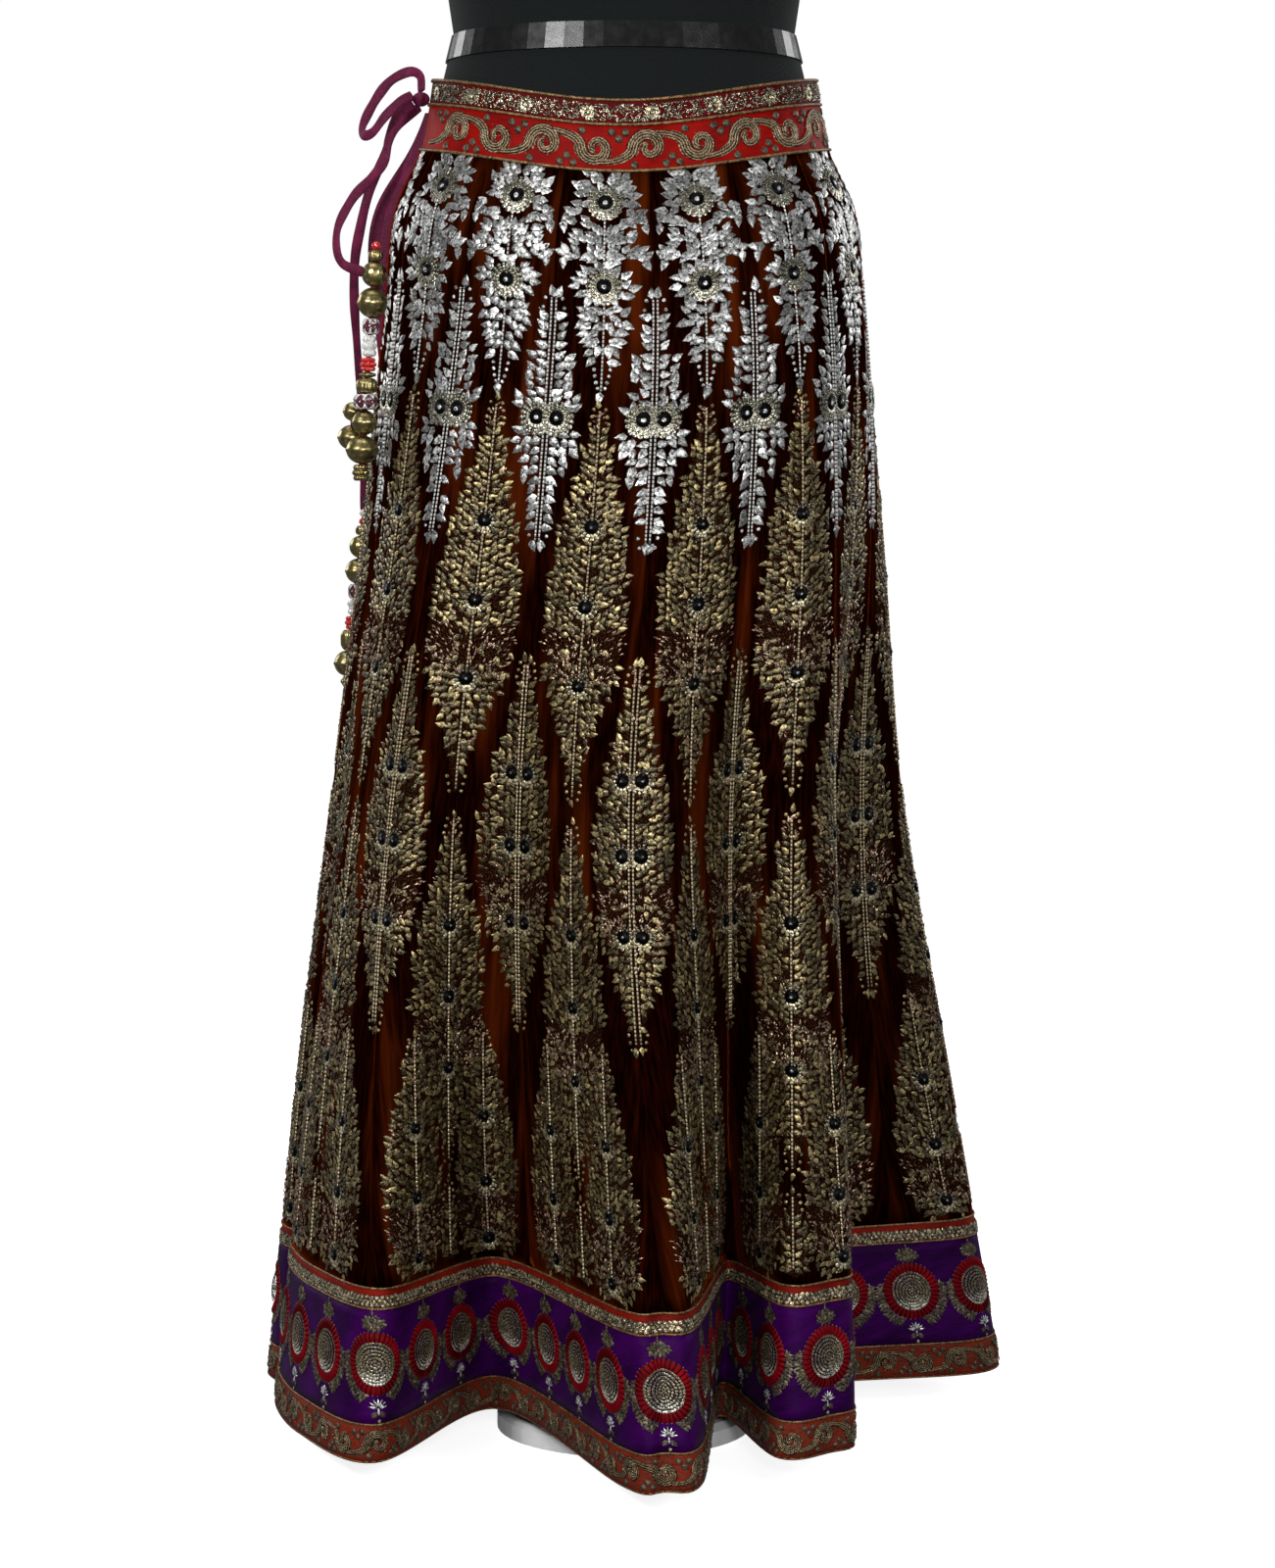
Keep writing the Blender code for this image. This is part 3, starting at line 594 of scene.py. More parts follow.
class Scatter:
    """Copies of templates gathered for one piece, each at a share and fraction of the cloth."""

    def __init__(self):
        self.points = []
        self.faces = []
        self.uv = []
        self.count = 0

    def lay(self, template, share, fraction, across, down, turn, width, length, height, off, tone):
        """Lay copies out: each is scaled, turned in the cloth's plane and moved, then put on it."""
        columns = [share, fraction, across, down, turn, width, length, height, off, tone]
        columns = [np.atleast_1d(np.asarray(column, float)) for column in columns]
        columns = [column[:, None] for column in np.broadcast_arrays(*columns)]
        share, fraction, across, down, turn, width, length, height, off, tone = columns
        x = template.points[None, :, 0] * width
        y = template.points[None, :, 1] * length
        z = template.points[None, :, 2] * height + off
        flat_x = across + x * np.cos(turn) - y * np.sin(turn)
        flat_y = down + x * np.sin(turn) + y * np.cos(turn)
        points = near(share, fraction, flat_x, flat_y, z)
        copies, size = points.shape[:2]
        starts = self.count + np.arange(copies)[:, None, None] * size
        self.points.append(points.reshape(-1, 3))
        self.faces.append((template.faces[None] + starts).reshape(-1, 3))
        edge = np.broadcast_to(template.edge[None, :], (copies, size))
        self.uv.append(np.stack([np.broadcast_to(tone, (copies, size)), edge], axis=-1).reshape(-1, 2))
        self.count += copies * size

    def make(self, name, material, slot):
        faces = np.concatenate(self.faces)
        add_piece(name, np.concatenate(self.points), faces, material, np.concatenate(self.uv))
        print(name, len(faces), "triangles")


# %% [markdown]
# Velvet is a dark pile that glows where the light grazes it. The nap is short streaks down the
# cloth, and the sheen takes the rust of the dye. Longer, lighter rust streaks are painted highlight.

# %% Cloth finishes


def velvet_material():
    desk = Desk("velvet", roughness=0.9, Sheen_Weight=0.13, Sheen_Roughness=0.25,
                Sheen_Tint=(0.85, 0.11, 0.01, 1.0), Specular_IOR_Level=0.0)
    coordinates = desk.uv()
    stretched = desk.node("ShaderNodeMapping", {}, {"Vector": coordinates, "Scale": (1.0, 0.10, 1.0)})
    streaks = desk.noise(420.0, 4.0, 0.6, stretched)
    cloudy = desk.noise(30.0, 4.0, 0.6, stretched)
    pile = desk.blend(streaks.ramp(0.35, 0.75), (0.0016, 0.0002, 0.0), (0.015, 0.0017, 0.0003))
    # Lighter rust streaks over the pile: a painted highlight where the folds catch the light, not wear.
    wear_and_painted_light = desk.blend(cloudy.ramp(0.48, 0.72) * 0.8, pile, (0.102, 0.0155, 0.0020))
    ground = desk.node("ShaderNodeAttribute", {"attribute_name": "ground"}, {}, 2)
    crumbs = desk.noise(760.0, 3.0, 0.65, coordinates)
    # Sparse bright copper specks in the thread ground are painted glints of the metal thread.
    painted_glints = desk.noise(1500.0, 2.0, 0.5, coordinates)
    thread = desk.blend(crumbs.ramp(0.45, 0.66), (0.004, 0.0009, 0.0003), (0.036, 0.010, 0.0034))
    thread = desk.blend(painted_glints.ramp(0.62, 0.76), thread, (0.42, 0.27, 0.15))
    sewn = (ground + (crumbs - 0.5) * 0.5).ramp(0.46, 0.60)
    desk.colour(desk.blend(sewn, wear_and_painted_light, thread))
    desk.rough(streaks * 0.15 + 0.75)
    desk.bump(streaks + cloudy * 0.6, 0.3, 0.0006)
    return desk.material


def silk_material(name, deep, bright, slub=0.35, roughness=0.48, fleck=None, pleats=0.0):
    """Plain silk: crossed threads, with thick slubs running along the weft."""
    desk = Desk(name, roughness=roughness, Sheen_Weight=0.01, Sheen_Roughness=0.4, Specular_IOR_Level=0.05)
    coordinates = desk.uv()
    across, down = desk.parts(coordinates)[:2]
    along = desk.node("ShaderNodeMapping", {}, {"Vector": coordinates, "Scale": (0.09, 1.0, 1.0)})
    slubs = desk.noise(900.0, 3.0, 0.6, along)
    clouds = desk.noise(38.0, 3.0, 0.5, coordinates)
    threads = (across * 9000.0).sine() * (down * 9000.0).sine()
    share = slubs.ramp(0.38, 0.66) * slub + clouds.ramp(0.3, 0.7) * (1 - slub)
    cloth_colour = desk.blend(share, deep, bright)
    if pleats:
        shadow = tuple(0.25 * c for c in deep)
        cloth_colour = desk.blend((across * pleats).sine().ramp(-0.9, -0.1), shadow, cloth_colour)
    if fleck:
        specks = desk.noise(620.0, 4.0, 0.7, coordinates)
        cloth_colour = desk.blend(specks.ramp(0.47, 0.56) * 0.85, cloth_colour, fleck)
    desk.colour(cloth_colour)
    desk.rough(slubs * 0.3 + (roughness - 0.15))
    desk.bump(slubs + threads * 0.15, 0.4, 0.0004)
    return desk.material


def metal_work_material(name, dark, light, rough=0.36, metallic=0.75, glint=0.0, **fixed):
    """Metal-thread work: UV x is each piece's own tone, and UV y runs from its crown to its rim."""
    desk = Desk(name, roughness=rough, metallic=metallic, **fixed)
    tone, edge = desk.parts(desk.uv())[:2]
    grain = desk.noise(1300.0, 2.0, 0.6)
    crumple = desk.noise(480.0, 3.0, 0.7)
    body = desk.blend(tone * tone, dark, light)
    shadowed = desk.blend(crumple.ramp(0.38, 0.60), tuple(0.20 * c for c in dark), body)
    spark = tuple(min(1.0, 1.4 * c + glint) for c in light)
    speckled = desk.blend(grain.ramp(0.52, 0.75) * 0.6, shadowed, spark)
    outline = desk.blend(edge.ramp(0.80, 1.0) * 0.85, speckled, tuple(0.08 * c for c in dark))
    desk.colour(outline)
    desk.rough(grain * 0.35 + (rough - 0.15))
    desk.bump(crumple, 0.6, 0.0005)
    return desk.material


def spine_material(name, dark, light):
    """A beaded cord: dark gaps between beads, a bead every 2.8 mm of height."""
    desk = Desk(name, roughness=0.35, metallic=0.5)
    height = desk.parts(desk.place())[2]
    beads = (height * (2 * math.pi / 0.0028)).sine()
    desk.colour(desk.blend(beads.ramp(-0.85, -0.25), dark, light))
    desk.bump(beads, 0.5, 0.0005)
    return desk.material


# A medallion ring's gathers, and its length round in UV
GATHERS = 36
RING_UV = 0.13
VELVET = velvet_material()
PURPLE_SILK = silk_material("purple_silk", (0.014, 0.0, 0.027), (0.050, 0.0, 0.092))
BAND_RED_SILK = silk_material("band_red_silk", (0.16, 0.0015, 0.001), (0.33, 0.005, 0.002))
BAND_DARK_SILK = silk_material("band_dark_silk", (0.045, 0.001, 0.0015), (0.13, 0.002, 0.003))
RUST_SILK = silk_material("rust_silk", (0.11, 0.004, 0.002), (0.25, 0.011, 0.004))
SCROLL_SILK = silk_material("scroll_silk", (0.11, 0.003, 0.0005), (0.31, 0.011, 0.0015),
                            fleck=(0.085, 0.055, 0.028))
CRIMSON_SILK = silk_material("crimson_silk", (0.10, 0.001, 0.003), (0.29, 0.003, 0.010),
                              pleats=2 * math.pi * GATHERS / RING_UV)
GOLD_LEAF = metal_work_material("gold_leaf", (0.040, 0.028, 0.009), (0.70, 0.55, 0.25), 0.29, 0.62, 0.06)
SILVER_LEAF = metal_work_material("silver_leaf", (0.20, 0.20, 0.188), (1.0, 1.0, 0.98), 0.18, 0.40, 0.2)
COPPER_WORK = metal_work_material("copper_work", (0.17, 0.055, 0.022), (0.98, 0.66, 0.44), 0.22, 0.7, 0.2)
SEQUIN_GOLD = metal_work_material("sequin_gold", (0.085, 0.060, 0.020), (1.0, 0.86, 0.52), 0.22, 0.58, 0.15)
SPINE_SILVER = spine_material("spine_silver", (0.06, 0.05, 0.045), (0.86, 0.85, 0.80))
SPINE_GOLD = spine_material("spine_gold", (0.05, 0.033, 0.012), (0.64, 0.53, 0.33))
DULL_ZARI = metal_work_material("dull_zari", (0.040, 0.029, 0.016), (0.34, 0.27, 0.165), 0.43, 0.4)
DISC_SEQUIN = metal_work_material("disc_sequin", (0.20, 0.155, 0.055), (1.0, 0.95, 0.76), 0.20, 0.42, 0.2)
PIPING = metal_work_material("piping", (0.26, 0.14, 0.05), (0.46, 0.28, 0.12), 0.45, 0.5)
CHAMPAGNE = metal_work_material("champagne_sequin", (0.13, 0.12, 0.08), (0.66, 0.62, 0.49), 0.24, 0.75, 0.1)
BLACK_BEAD = metal_work_material("black_bead", (0.0006, 0.0006, 0.0007), (0.0015, 0.0015, 0.002), 0.34, 0.0,
                                 Specular_IOR_Level=0.08)

# %% [markdown]
# The gores are cut as thin walls from the cloth surface, each a hair from its neighbour. Their side
# edges keep the solids' seams, and the two half gores stop at the placket.

# %% Velvet gores
VELVET_WALL = 0.0014
BORDER_TOP = 1 - sum(BORDER.values()) / CLOTH_HEIGHT
GORE_COLUMNS = 25
GORE_ROWS = 76

# Each gore's cut sizes, and its piece with the shares and levels of its points
CUTS = []
GORE_PLACES = {}


def placket(fraction):
    """The opening's two edges at each level, as shares of the ring."""
    open_share = np.clip(1 - np.maximum(fraction, 0) / PLACKET_END, 0, 1)
    length = ring_length(fraction)
    front = (PLACKET_FRONT * open_share + SEAM_GAP / 2) / length
    return front, 1 - (PLACKET_BACK * open_share + SEAM_GAP / 2) / length


def flat_size(grid):
    """A grid of cloth laid flat: its widest row, its middle column's length, and its area."""
    widths = np.linalg.norm(np.diff(grid, axis=1), axis=2).sum(axis=1)
    length = route_length(grid[:, grid.shape[1] // 2])
    return (float(widths.max()), length), float(widths.mean() * length)


def add_gore(name, index):
    """One gore: an outer and an inner grid between its two seams, closed round the edge."""
    fractions = np.linspace(0.0002, BORDER_TOP - 0.0002, GORE_ROWS)
    gap = SEAM_GAP / 2 / ring_length(fractions)
    front, back = placket(fractions)
    left = front if index == 0 else (index - 0.5) / GORES + gap
    right = back if index == GORES else (index + 0.5) / GORES - gap
    columns = GORE_COLUMNS if 0 < index < GORES else GORE_COLUMNS // 2 + 1
    shares = left[:, None] + np.linspace(0, 1, columns)[None, :] * (right - left)[:, None]
    levels = np.broadcast_to(fractions[:, None], shares.shape)
    outer = cloth(shares, levels)
    points = np.concatenate([outer, cloth(shares, levels, -VELVET_WALL)])
    across = (shares - shares.mean(axis=1, keepdims=True)) * ring_length(levels) + index
    uv = np.stack([across, levels * CLOTH_HEIGHT], axis=-1).reshape(-1, 2)
    faces = wall_faces(GORE_ROWS, columns, False)
    gore = add_piece(f"{name}_velvet", points, faces, VELVET, np.vstack([uv, uv]), (name,))
    flat, area = flat_size(outer)
    CUTS.append((name, *flat, area))
    GORE_PLACES[name] = (gore, shares, levels)


add_gore("kali_side_front", 0)
for index in range(1, GORES):
    add_gore(f"kali_{index:02d}", index)
add_gore("kali_side_back", GORES)
for name, width, length, area in CUTS:
    print(name, "cut", round(width, 3), "x", round(length, 3), "m, area", round(area, 4))

# %% [markdown]
# The waistbands and the three hem bands are the same wall at other levels. Cords of piping cover
# their seams.

# %% Bands and piping
WAIST_WALL = 0.0024
WAIST_PROUD = 0.0006
HEM_WALL = 0.0018
HEM_PROUD = 0.0003


def open_shares(count):
    """Shares round a level that is open at the placket."""
    front, back = placket(np.zeros(1))
    return np.linspace(front[0], back[0], count)


def add_band(name, top, bottom, rows, material, node, closed, columns):
    """A band between two levels, closed round the hem or open at the placket."""
    wall, proud = (HEM_WALL, HEM_PROUD) if closed else (WAIST_WALL, WAIST_PROUD)
    fractions = np.linspace(top, bottom, rows)
    around = np.arange(columns) / columns if closed else open_shares(columns)
    shares = np.broadcast_to(around, (rows, columns))
    levels = np.broadcast_to(fractions[:, None], shares.shape)
    outer = cloth(shares, levels, proud).reshape(-1, 3)
    inner = cloth(shares, levels, proud - wall).reshape(-1, 3)
    uv = np.stack([shares * ring_length(levels), levels * CLOTH_HEIGHT], axis=-1).reshape(-1, 2)
    faces = wall_faces(rows, columns, closed)
    band = add_piece(name, np.concatenate([outer, inner]), faces, material, np.vstack([uv, uv]), (node,))
    width = float((bottom - top) * CLOTH_HEIGHT)
    length = float(np.mean([route_length(cloth(row, level, proud)) for row, level in zip(shares, levels)]))
    print(name, "cut", round(width, 3), "x", round(length, 3), "m")


def add_piping(name, fraction, radius, off, closed, columns, sides=6):
    """A cord laid along one level of the cloth."""
    shares = np.linspace(0, 1, columns + 1) if closed else open_shares(columns + 1)
    path = cloth(shares, np.full(len(shares), fraction), off)
    out = read_grid(LEVEL_NORMALS, shares, np.full(len(shares), fraction))
    grid = tube_grid(path, radius, radius, sides, out, closed)
    uv = np.stack(np.broadcast_arrays((shares[:, None] * 400) % 1.0, np.zeros((1, sides))), axis=-1)
    if closed:
        grid[-1] = grid[0]
        add_piece(name, grid, tube_faces(columns + 1, sides, flip=True), PIPING, uv)
    else:
        join_tubes(name, [grid], PIPING, uv)


BAND_TOP = -BAND_HEIGHT / CLOTH_HEIGHT
BAND_SPLIT = (UPPER_BAND_HEIGHT - BAND_HEIGHT) / CLOTH_HEIGHT
PURPLE_TOP = BORDER_TOP + BORDER["beaded"] / CLOTH_HEIGHT
SCROLL_TOP = PURPLE_TOP + BORDER["purple"] / CLOTH_HEIGHT
HAIR = 0.00018
add_band("waistband_upper_silk", BAND_TOP, BAND_SPLIT - HAIR, 8,
         BAND_DARK_SILK, "waistband_upper", False, 240)
add_band("waistband_lower_silk", BAND_SPLIT + HAIR, -0.0003, 12,
         BAND_RED_SILK, "waistband_lower", False, 240)
add_band("hem_beaded_silk", BORDER_TOP + HAIR, PURPLE_TOP - HAIR, 4,
         RUST_SILK, "hem_band_beaded", True, 700)
add_band("hem_purple_silk", PURPLE_TOP + HAIR, SCROLL_TOP - HAIR, 12,
         PURPLE_SILK, "hem_band_purple", True, 640)
add_band("hem_scroll_silk", SCROLL_TOP + HAIR, 1.0 - HAIR, 5,
         SCROLL_SILK, "hem_band_scroll", True, 700)
for place, level in (("top", BAND_TOP + 0.0012), ("middle", BAND_SPLIT), ("bottom", -0.0012)):
    add_piping(f"piping_waist_{place}", level, 0.0011, 0.0012, False, 240)
for number, level in enumerate((BORDER_TOP, PURPLE_TOP, SCROLL_TOP)):
    add_piping(f"piping_hem_{number}", level, 0.0008, 0.0006, True, 560, 5)
add_piping("piping_hem_edge", 0.9995, 0.0008, -0.0002, True, 560, 5)

# %% [markdown]
# Each gore carries the same rows of sprays. A spray is a spine with pairs of foil leaves whose tips
# point outward, up above its widest place and down below it. Its two ends thin to single pairs, a
# few berries on stalks and one last leaf. One function lays out any spindle from a table row.

# %% The spray table
VELVET_LENGTH = BORDER_TOP * CLOTH_HEIGHT
rng = np.random.default_rng(7)

# Each outline lists (share down the velvet, half breadth in metres)
SPRAYS = {
    "B": {"silver": True, "double": True, "where": "seam", "flowers": (0.223,), "ends": (1, 1), "copper": None,
          "outline": [(0.108, 0.001), (0.135, 0.009), (0.170, 0.014), (0.200, 0.021), (0.223, 0.0240),
                      (0.250, 0.0215), (0.280, 0.015), (0.310, 0.009), (0.340, 0.001)]},
    "C": {"silver": False, "double": False, "where": "centre", "flowers": (0.318, 0.389, 0.459), "ends": (1, 1),
          "copper": (0.412, 0.452),
          "outline": [(0.207, 0.001), (0.240, 0.009), (0.275, 0.014), (0.310, 0.022), (0.360, 0.029),
                      (0.420, 0.0340), (0.450, 0.0290), (0.480, 0.019), (0.520, 0.011), (0.566, 0.001)]},
    "D": {"silver": False, "double": True, "where": "seam", "flowers": (0.541, 0.607, 0.677), "ends": (1, 1),
          "copper": (0.640, 0.676),
          "outline": [(0.435, 0.001), (0.470, 0.009), (0.500, 0.014), (0.540, 0.024), (0.590, 0.031),
                      (0.640, 0.0345), (0.675, 0.029), (0.705, 0.019), (0.740, 0.011), (0.777, 0.001)]},
    "E": {"silver": False, "double": False, "where": "centre", "flowers": (0.681, 0.746, 0.811), "ends": (1, 1),
          "copper": (0.770, 0.806),
          "outline": [(0.578, 0.001), (0.610, 0.009), (0.645, 0.014), (0.680, 0.024), (0.720, 0.031),
                      (0.770, 0.0355), (0.805, 0.029), (0.835, 0.019), (0.870, 0.010), (0.905, 0.001)]},
    "F": {"silver": False, "double": False, "where": "quarters", "flowers": (0.862, 0.925, 0.980),
          "ends": (1, 0), "copper": (0.940, 0.975),
          "outline": [(0.775, 0.001), (0.800, 0.009), (0.830, 0.015), (0.865, 0.023), (0.900, 0.029),
                      (0.940, 0.033), (0.968, 0.030), (0.986, 0.020), (0.995, 0.010)]},
    "G": {"silver": False, "double": False, "where": "centre", "flowers": (), "ends": (1, 0), "copper": None,
          "outline": [(0.914, 0.001), (0.935, 0.008), (0.955, 0.011), (0.975, 0.015), (0.994, 0.012)]},
}
LEAF_SIZE = {"silver": (0.0033, 0.0051), "gold": (0.0022, 0.0037)}
FAN_PITCH = {"silver": 0.021, "gold": 0.0165}
LEAF_PITCH = {"silver": 0.0066, "gold": 0.0051}
FLOWER_REACH = {"silver": 0.0118, "gold": 0.0088}


def spray_shares(where):
    """The shares round the ring where a spray's spine runs, one or two to each gore."""
    gores = np.arange(GORES)
    if where == "seam":
        return (gores + 0.5) / GORES
    if where == "quarters":
        return np.concatenate([(gores - 0.245) / GORES, (gores + 0.245) / GORES])
    return gores / GORES


# %% [markdown]
# The layout. Leaves come in rows along the spine. Beyond the first pair they alternate between two
# leans, so that each outer pair reads as a side branch of the spray.

# %% Leaves of a spindle


def spindle(spray):
    """Leaf and berry places of one spray: rows of (down, across, turn from the upward way)."""
    kind = "silver" if spray["silver"] else "gold"
    breadth, length = LEAF_SIZE[kind]
    pitch = LEAF_PITCH[kind]
    outline = np.array(spray["outline"])
    level = outline[:, 0] * VELVET_LENGTH
    widest = level[np.argmax(outline[:, 1])]
    first = 0.0034 if spray["double"] else 0.0020
    leaves, berries = [], []
    for down in np.arange(level[0] + pitch, level[-1] - 0.3 * pitch, pitch):
        half = np.interp(down, level, outline[:, 1])
        rising = down < widest
        from_tip = down - level[0] if rising else level[-1] - down
        if from_tip < 0.016 and spray["ends"][0 if rising else 1]:
            berries += [(down, side * (0.0012 + 0.21 * from_tip + first)) for side in (-1, 1)]
            continue
        reach = first + 0.62 * length
        column = 0
        while reach < half - 0.2 * length or column == 0:
            fan = 0.50 * math.cos(2 * math.pi * down / FAN_PITCH[kind] + 1.9 * column)
            lean = ((1.02, 0.62, 1.15)[column % 3] if column else 0.95) + (fan if column else 0.35 * fan)
            stagger = (0.0, -0.36, 0.30)[column % 3] * pitch - (0.34 if rising else -0.34) * (reach - first)
            turn = lean if rising else math.pi - lean
            leaves += [(down + stagger, side * reach, side * turn) for side in (-1, 1)]
            reach += 2.05 * breadth + 0.0004
            column += 1
    ends = [(level[0] + 0.3 * length, 0.0)] if spray["ends"][0] else []
    ends += [(level[-1] - 0.3 * length, math.pi)] if spray["ends"][1] else []
    for down, turn in ends:
        for side in ((-0.0023, 0.0023) if spray["double"] else (0.0,)):
            leaves.append((down, side, turn))
    return clear_of_flowers(np.array(leaves), spray, kind), np.array(berries).reshape(-1, 2)


def clear_of_flowers(places, spray, kind):
    """Drop the leaves that would lie under a flower."""
    side = FLOWER_SIDE if spray["double"] else 0.0
    keep = np.ones(len(places), dtype=bool)
    for flower in spray["flowers"]:
        off = np.hypot(places[:, 0] - flower * VELVET_LENGTH, np.abs(places[:, 1]) - side)
        keep &= off > FLOWER_REACH[kind] - 0.0006
    return places[keep]


FLOWER_SIDE = 0.0070

# Row A in millimetres below the waistband and beside the spine, with each leaf's turn in degrees
BOUQUET = [
    (4, 4, 20), (6, 10, 45), (11, 16, 60), (17, 19, 85), (10, 20, 50), (23, 20, 100), (29, 18, 125),
    (29, 25, 80), (35, 14, 60), (41, 28, 175), (35, 23, 110), (34, 27, 140), (40, 7, 35), (38, 13, 70),
    (43, 19, 60), (45, 10, 55), (42, 3.5, 20), (48, 15, 80), (48, 5, 40), (51, 21, 75), (50, 10, 60),
    (55, 9, 30), (54, 15, 35), (55, 21, 40), (56, 26.5, 45), (63, 8, 115), (62, 14, 120), (60, 19.5, 125),
    (61, 24.5, 135), (66, 28.5, 165), (59, 30, 60), (58, 4, 20), (66, 4, 60), (73, 15, 60), (70, 9, 40),
    (76, 20, 75), (82, 20, 95), (87, 17, 120), (92, 12, 140), (78, 15, 80), (91, 6, 155), (97, 9, 80),
    (98, 4, 40), (102, 14, 75), (104, 8, 95), (108, 17, 115), (108, 11, 120), (109, 4, 130), (114, 8, 125),
    (119, 12, 125), (121, 5, 140), (127, 9.5, 130), (134, 8, 125), (98, 15, 60), (114, 14, 110),
    (1, 8, 30), (1, 14, 50), (8, 14, 60), (10, 5, 20), (12, 10, 45), (15, 15, 70), (14, 1.5, 10),
    (23, 15, 100), (46, 8, 40), (47, 20, 70), (52, 5, 25), (60, 10, 110), (69, 13, 50), (86, 13, 100),
    (121, 9, 130), (127, 4, 150), (70, 4, 20), (36, 18, 110),
]
BOUQUET_BERRIES = [(139, 5.5), (143.5, 4.8), (148, 3.8), (152, 2.4)]
BOUQUET_FLOWERS = (0.028, 0.104)


def bouquet():
    """Row A: a bouquet round two flowers, a pair of level branches, and a tapering end."""
    rows = [(down / 1000, side * across / 1000, side * math.radians(turn))
            for down, across, turn in BOUQUET for side in (-1, 1)]
    rows.append((0.158, 0.0, math.pi))
    berries = [(down / 1000, side * across / 1000) for down, across in BOUQUET_BERRIES for side in (-1, 1)]
    return np.array(rows), np.array(berries)


def placket_clear(share, down, across):
    """Keep what lies on cloth: nothing is sewn inside the open placket."""
    fraction = down / CLOTH_HEIGHT
    place = np.mod(share + across / ring_length(fraction) + 0.5, 1.0) - 0.5
    front, back = placket(fraction)
    margin = 0.0045 / ring_length(fraction)
    return (fraction > PLACKET_END + 0.004) | (place > front + margin) | (place < back - 1 - margin)


# %% [markdown]
# Sewing the leaves on. Every copy is a little off in place, size and lean, as hand work is. The
# lower third of a gold spray is mostly short copper coils, laid radially. A ground of thread lies
# under the gold leaves: each point of the velvet holds a number, and the material draws the thread
# where it is over a half.

# %% Sew on the leaves


def jittered(places, spread, lean):
    """Shake a table of places, down, across and turn, and give each its size."""
    count = len(places)
    down = places[:, 0] + rng.normal(0, spread, count)
    across = places[:, 1] + rng.normal(0, spread, count)
    turn = places[:, 2] + rng.normal(0, lean, count)
    size = rng.uniform(0.84, 1.10, count)
    return down, across, turn, size


def lay_leaves(leaves, share, places, kind):
    breadth, length = LEAF_SIZE[kind]
    down, across, turn, size = jittered(places, 0.0006, 0.22)
    keep = placket_clear(share, down, across) & (rng.uniform(0, 1, len(places)) > 0.05)
    tone = np.clip(rng.normal(0.5, 0.3, len(places)), 0, 1)
    down, across, turn, size, tone = (column[keep] for column in (down, across, turn, size, tone))
    leaves.lay(LEAF, share, 0.0, across, down, turn, breadth * size, length * size, 0.0008, 0.0002, tone)


def lay_coils(coils, share, outline, level, spread, count):
    """Short copper coils scattered over one stretch of the outline, each pointing from the spine."""
    down = level + rng.uniform(-spread, spread, count)
    half = np.interp(down, outline[:, 0] * VELVET_LENGTH, outline[:, 1]) * 0.97
    reach = rng.uniform(-1, 1, count)
    across = reach * half
    turn = reach * 1.2 + rng.normal(0, 0.25, count)
    keep = placket_clear(share, down, across)
    down, across, turn = down[keep], across[keep], turn[keep]
    glow = rng.uniform(0, 1, len(down))
    coils.lay(COIL, share, 0.0, across, down, turn, 0.0007, 0.0019, 0.0010, 0.0007, glow)


def lay_berries(leaves, share, berries):
    down, across = berries[:, 0], berries[:, 1]
    keep = placket_clear(share, down, across)
    down, across = down[keep], across[keep]
    glow = rng.uniform(0.5, 1, len(down))
    leaves.lay(BERRY, share, 0.0, across, down, 0.0, 0.0014, 0.0014, 0.0013, 0.0001, glow)


def sew_row(key, spray, coils):
    """One row of sprays all round the skirt."""
    kind = "silver" if spray["silver"] else "gold"
    places, berries = bouquet() if key == "A" else spindle(spray)
    leaves = Scatter()
    for share in spray_shares(spray["where"]):
        if spray.get("copper"):
            top, low = (value * VELVET_LENGTH for value in spray["copper"])
            among = (places[:, 0] > top) & (places[:, 0] < low) & (rng.uniform(0, 1, len(places)) > 0.55)
            lay_leaves(leaves, share, places[~among], kind)
            outline = np.array(spray["outline"])
            length = (outline[-1, 0] - outline[0, 0]) * VELVET_LENGTH
            tip = outline[0, 0] * VELVET_LENGTH
            lay_coils(coils, share, outline, (top + low) / 2, (low - top) / 2 + 0.003, 158)
            lay_coils(coils, share, outline, tip + 0.013, 0.008, 18)
            lay_coils(coils, share, outline, tip + 0.52 * length, 0.38 * length, 110)
        else:
            lay_leaves(leaves, share, places, kind)
        if len(berries):
            lay_berries(leaves, share, berries)
    material, slot = (SILVER_LEAF, "silver_work") if spray["silver"] else (GOLD_LEAF, "zari")
    leaves.make(f"leaves_row_{key}", material, slot)


# The ground's share of a spray's half breadth, how far it stops short of it, the breadth over which
# its number runs from 0 to 1, and the half breadth past a spray's two ends
GROUND_SHARE = 0.93
GROUND_INSET = 0.0015
GROUND_SPAN = 0.024
GROUND_OUTSIDE = -0.012


def mark_grounds():
    """The thread sewn under the gold leaves, as a number on the velvet that crosses 0.5 at its edge."""
    for gore, shares, levels in GORE_PLACES.values():
        down = levels * CLOTH_HEIGHT
        ground = np.zeros(shares.shape)
        for spray in SPRAYS.values():
            if spray["silver"]:
                continue
            outline = np.array(spray["outline"])
            half = np.interp(down, outline[:, 0] * VELVET_LENGTH, outline[:, 1],
                             left=GROUND_OUTSIDE, right=GROUND_OUTSIDE)
            for share in spray_shares(spray["where"]):
                apart = np.mod(shares - share + 0.5, 1.0) - 0.5
                across = np.abs(apart) * ring_length(levels)
                inside = (GROUND_SHARE * half - GROUND_INSET - across) / GROUND_SPAN
                ground = np.maximum(ground, 0.5 + inside)
        inner = np.zeros(shares.size)
        values = np.concatenate([np.clip(ground, 0, 1).ravel(), inner]).astype(np.float32)
        layer = gore.data.attributes.new("ground", "FLOAT", "POINT")
        layer.data.foreach_set("value", values)


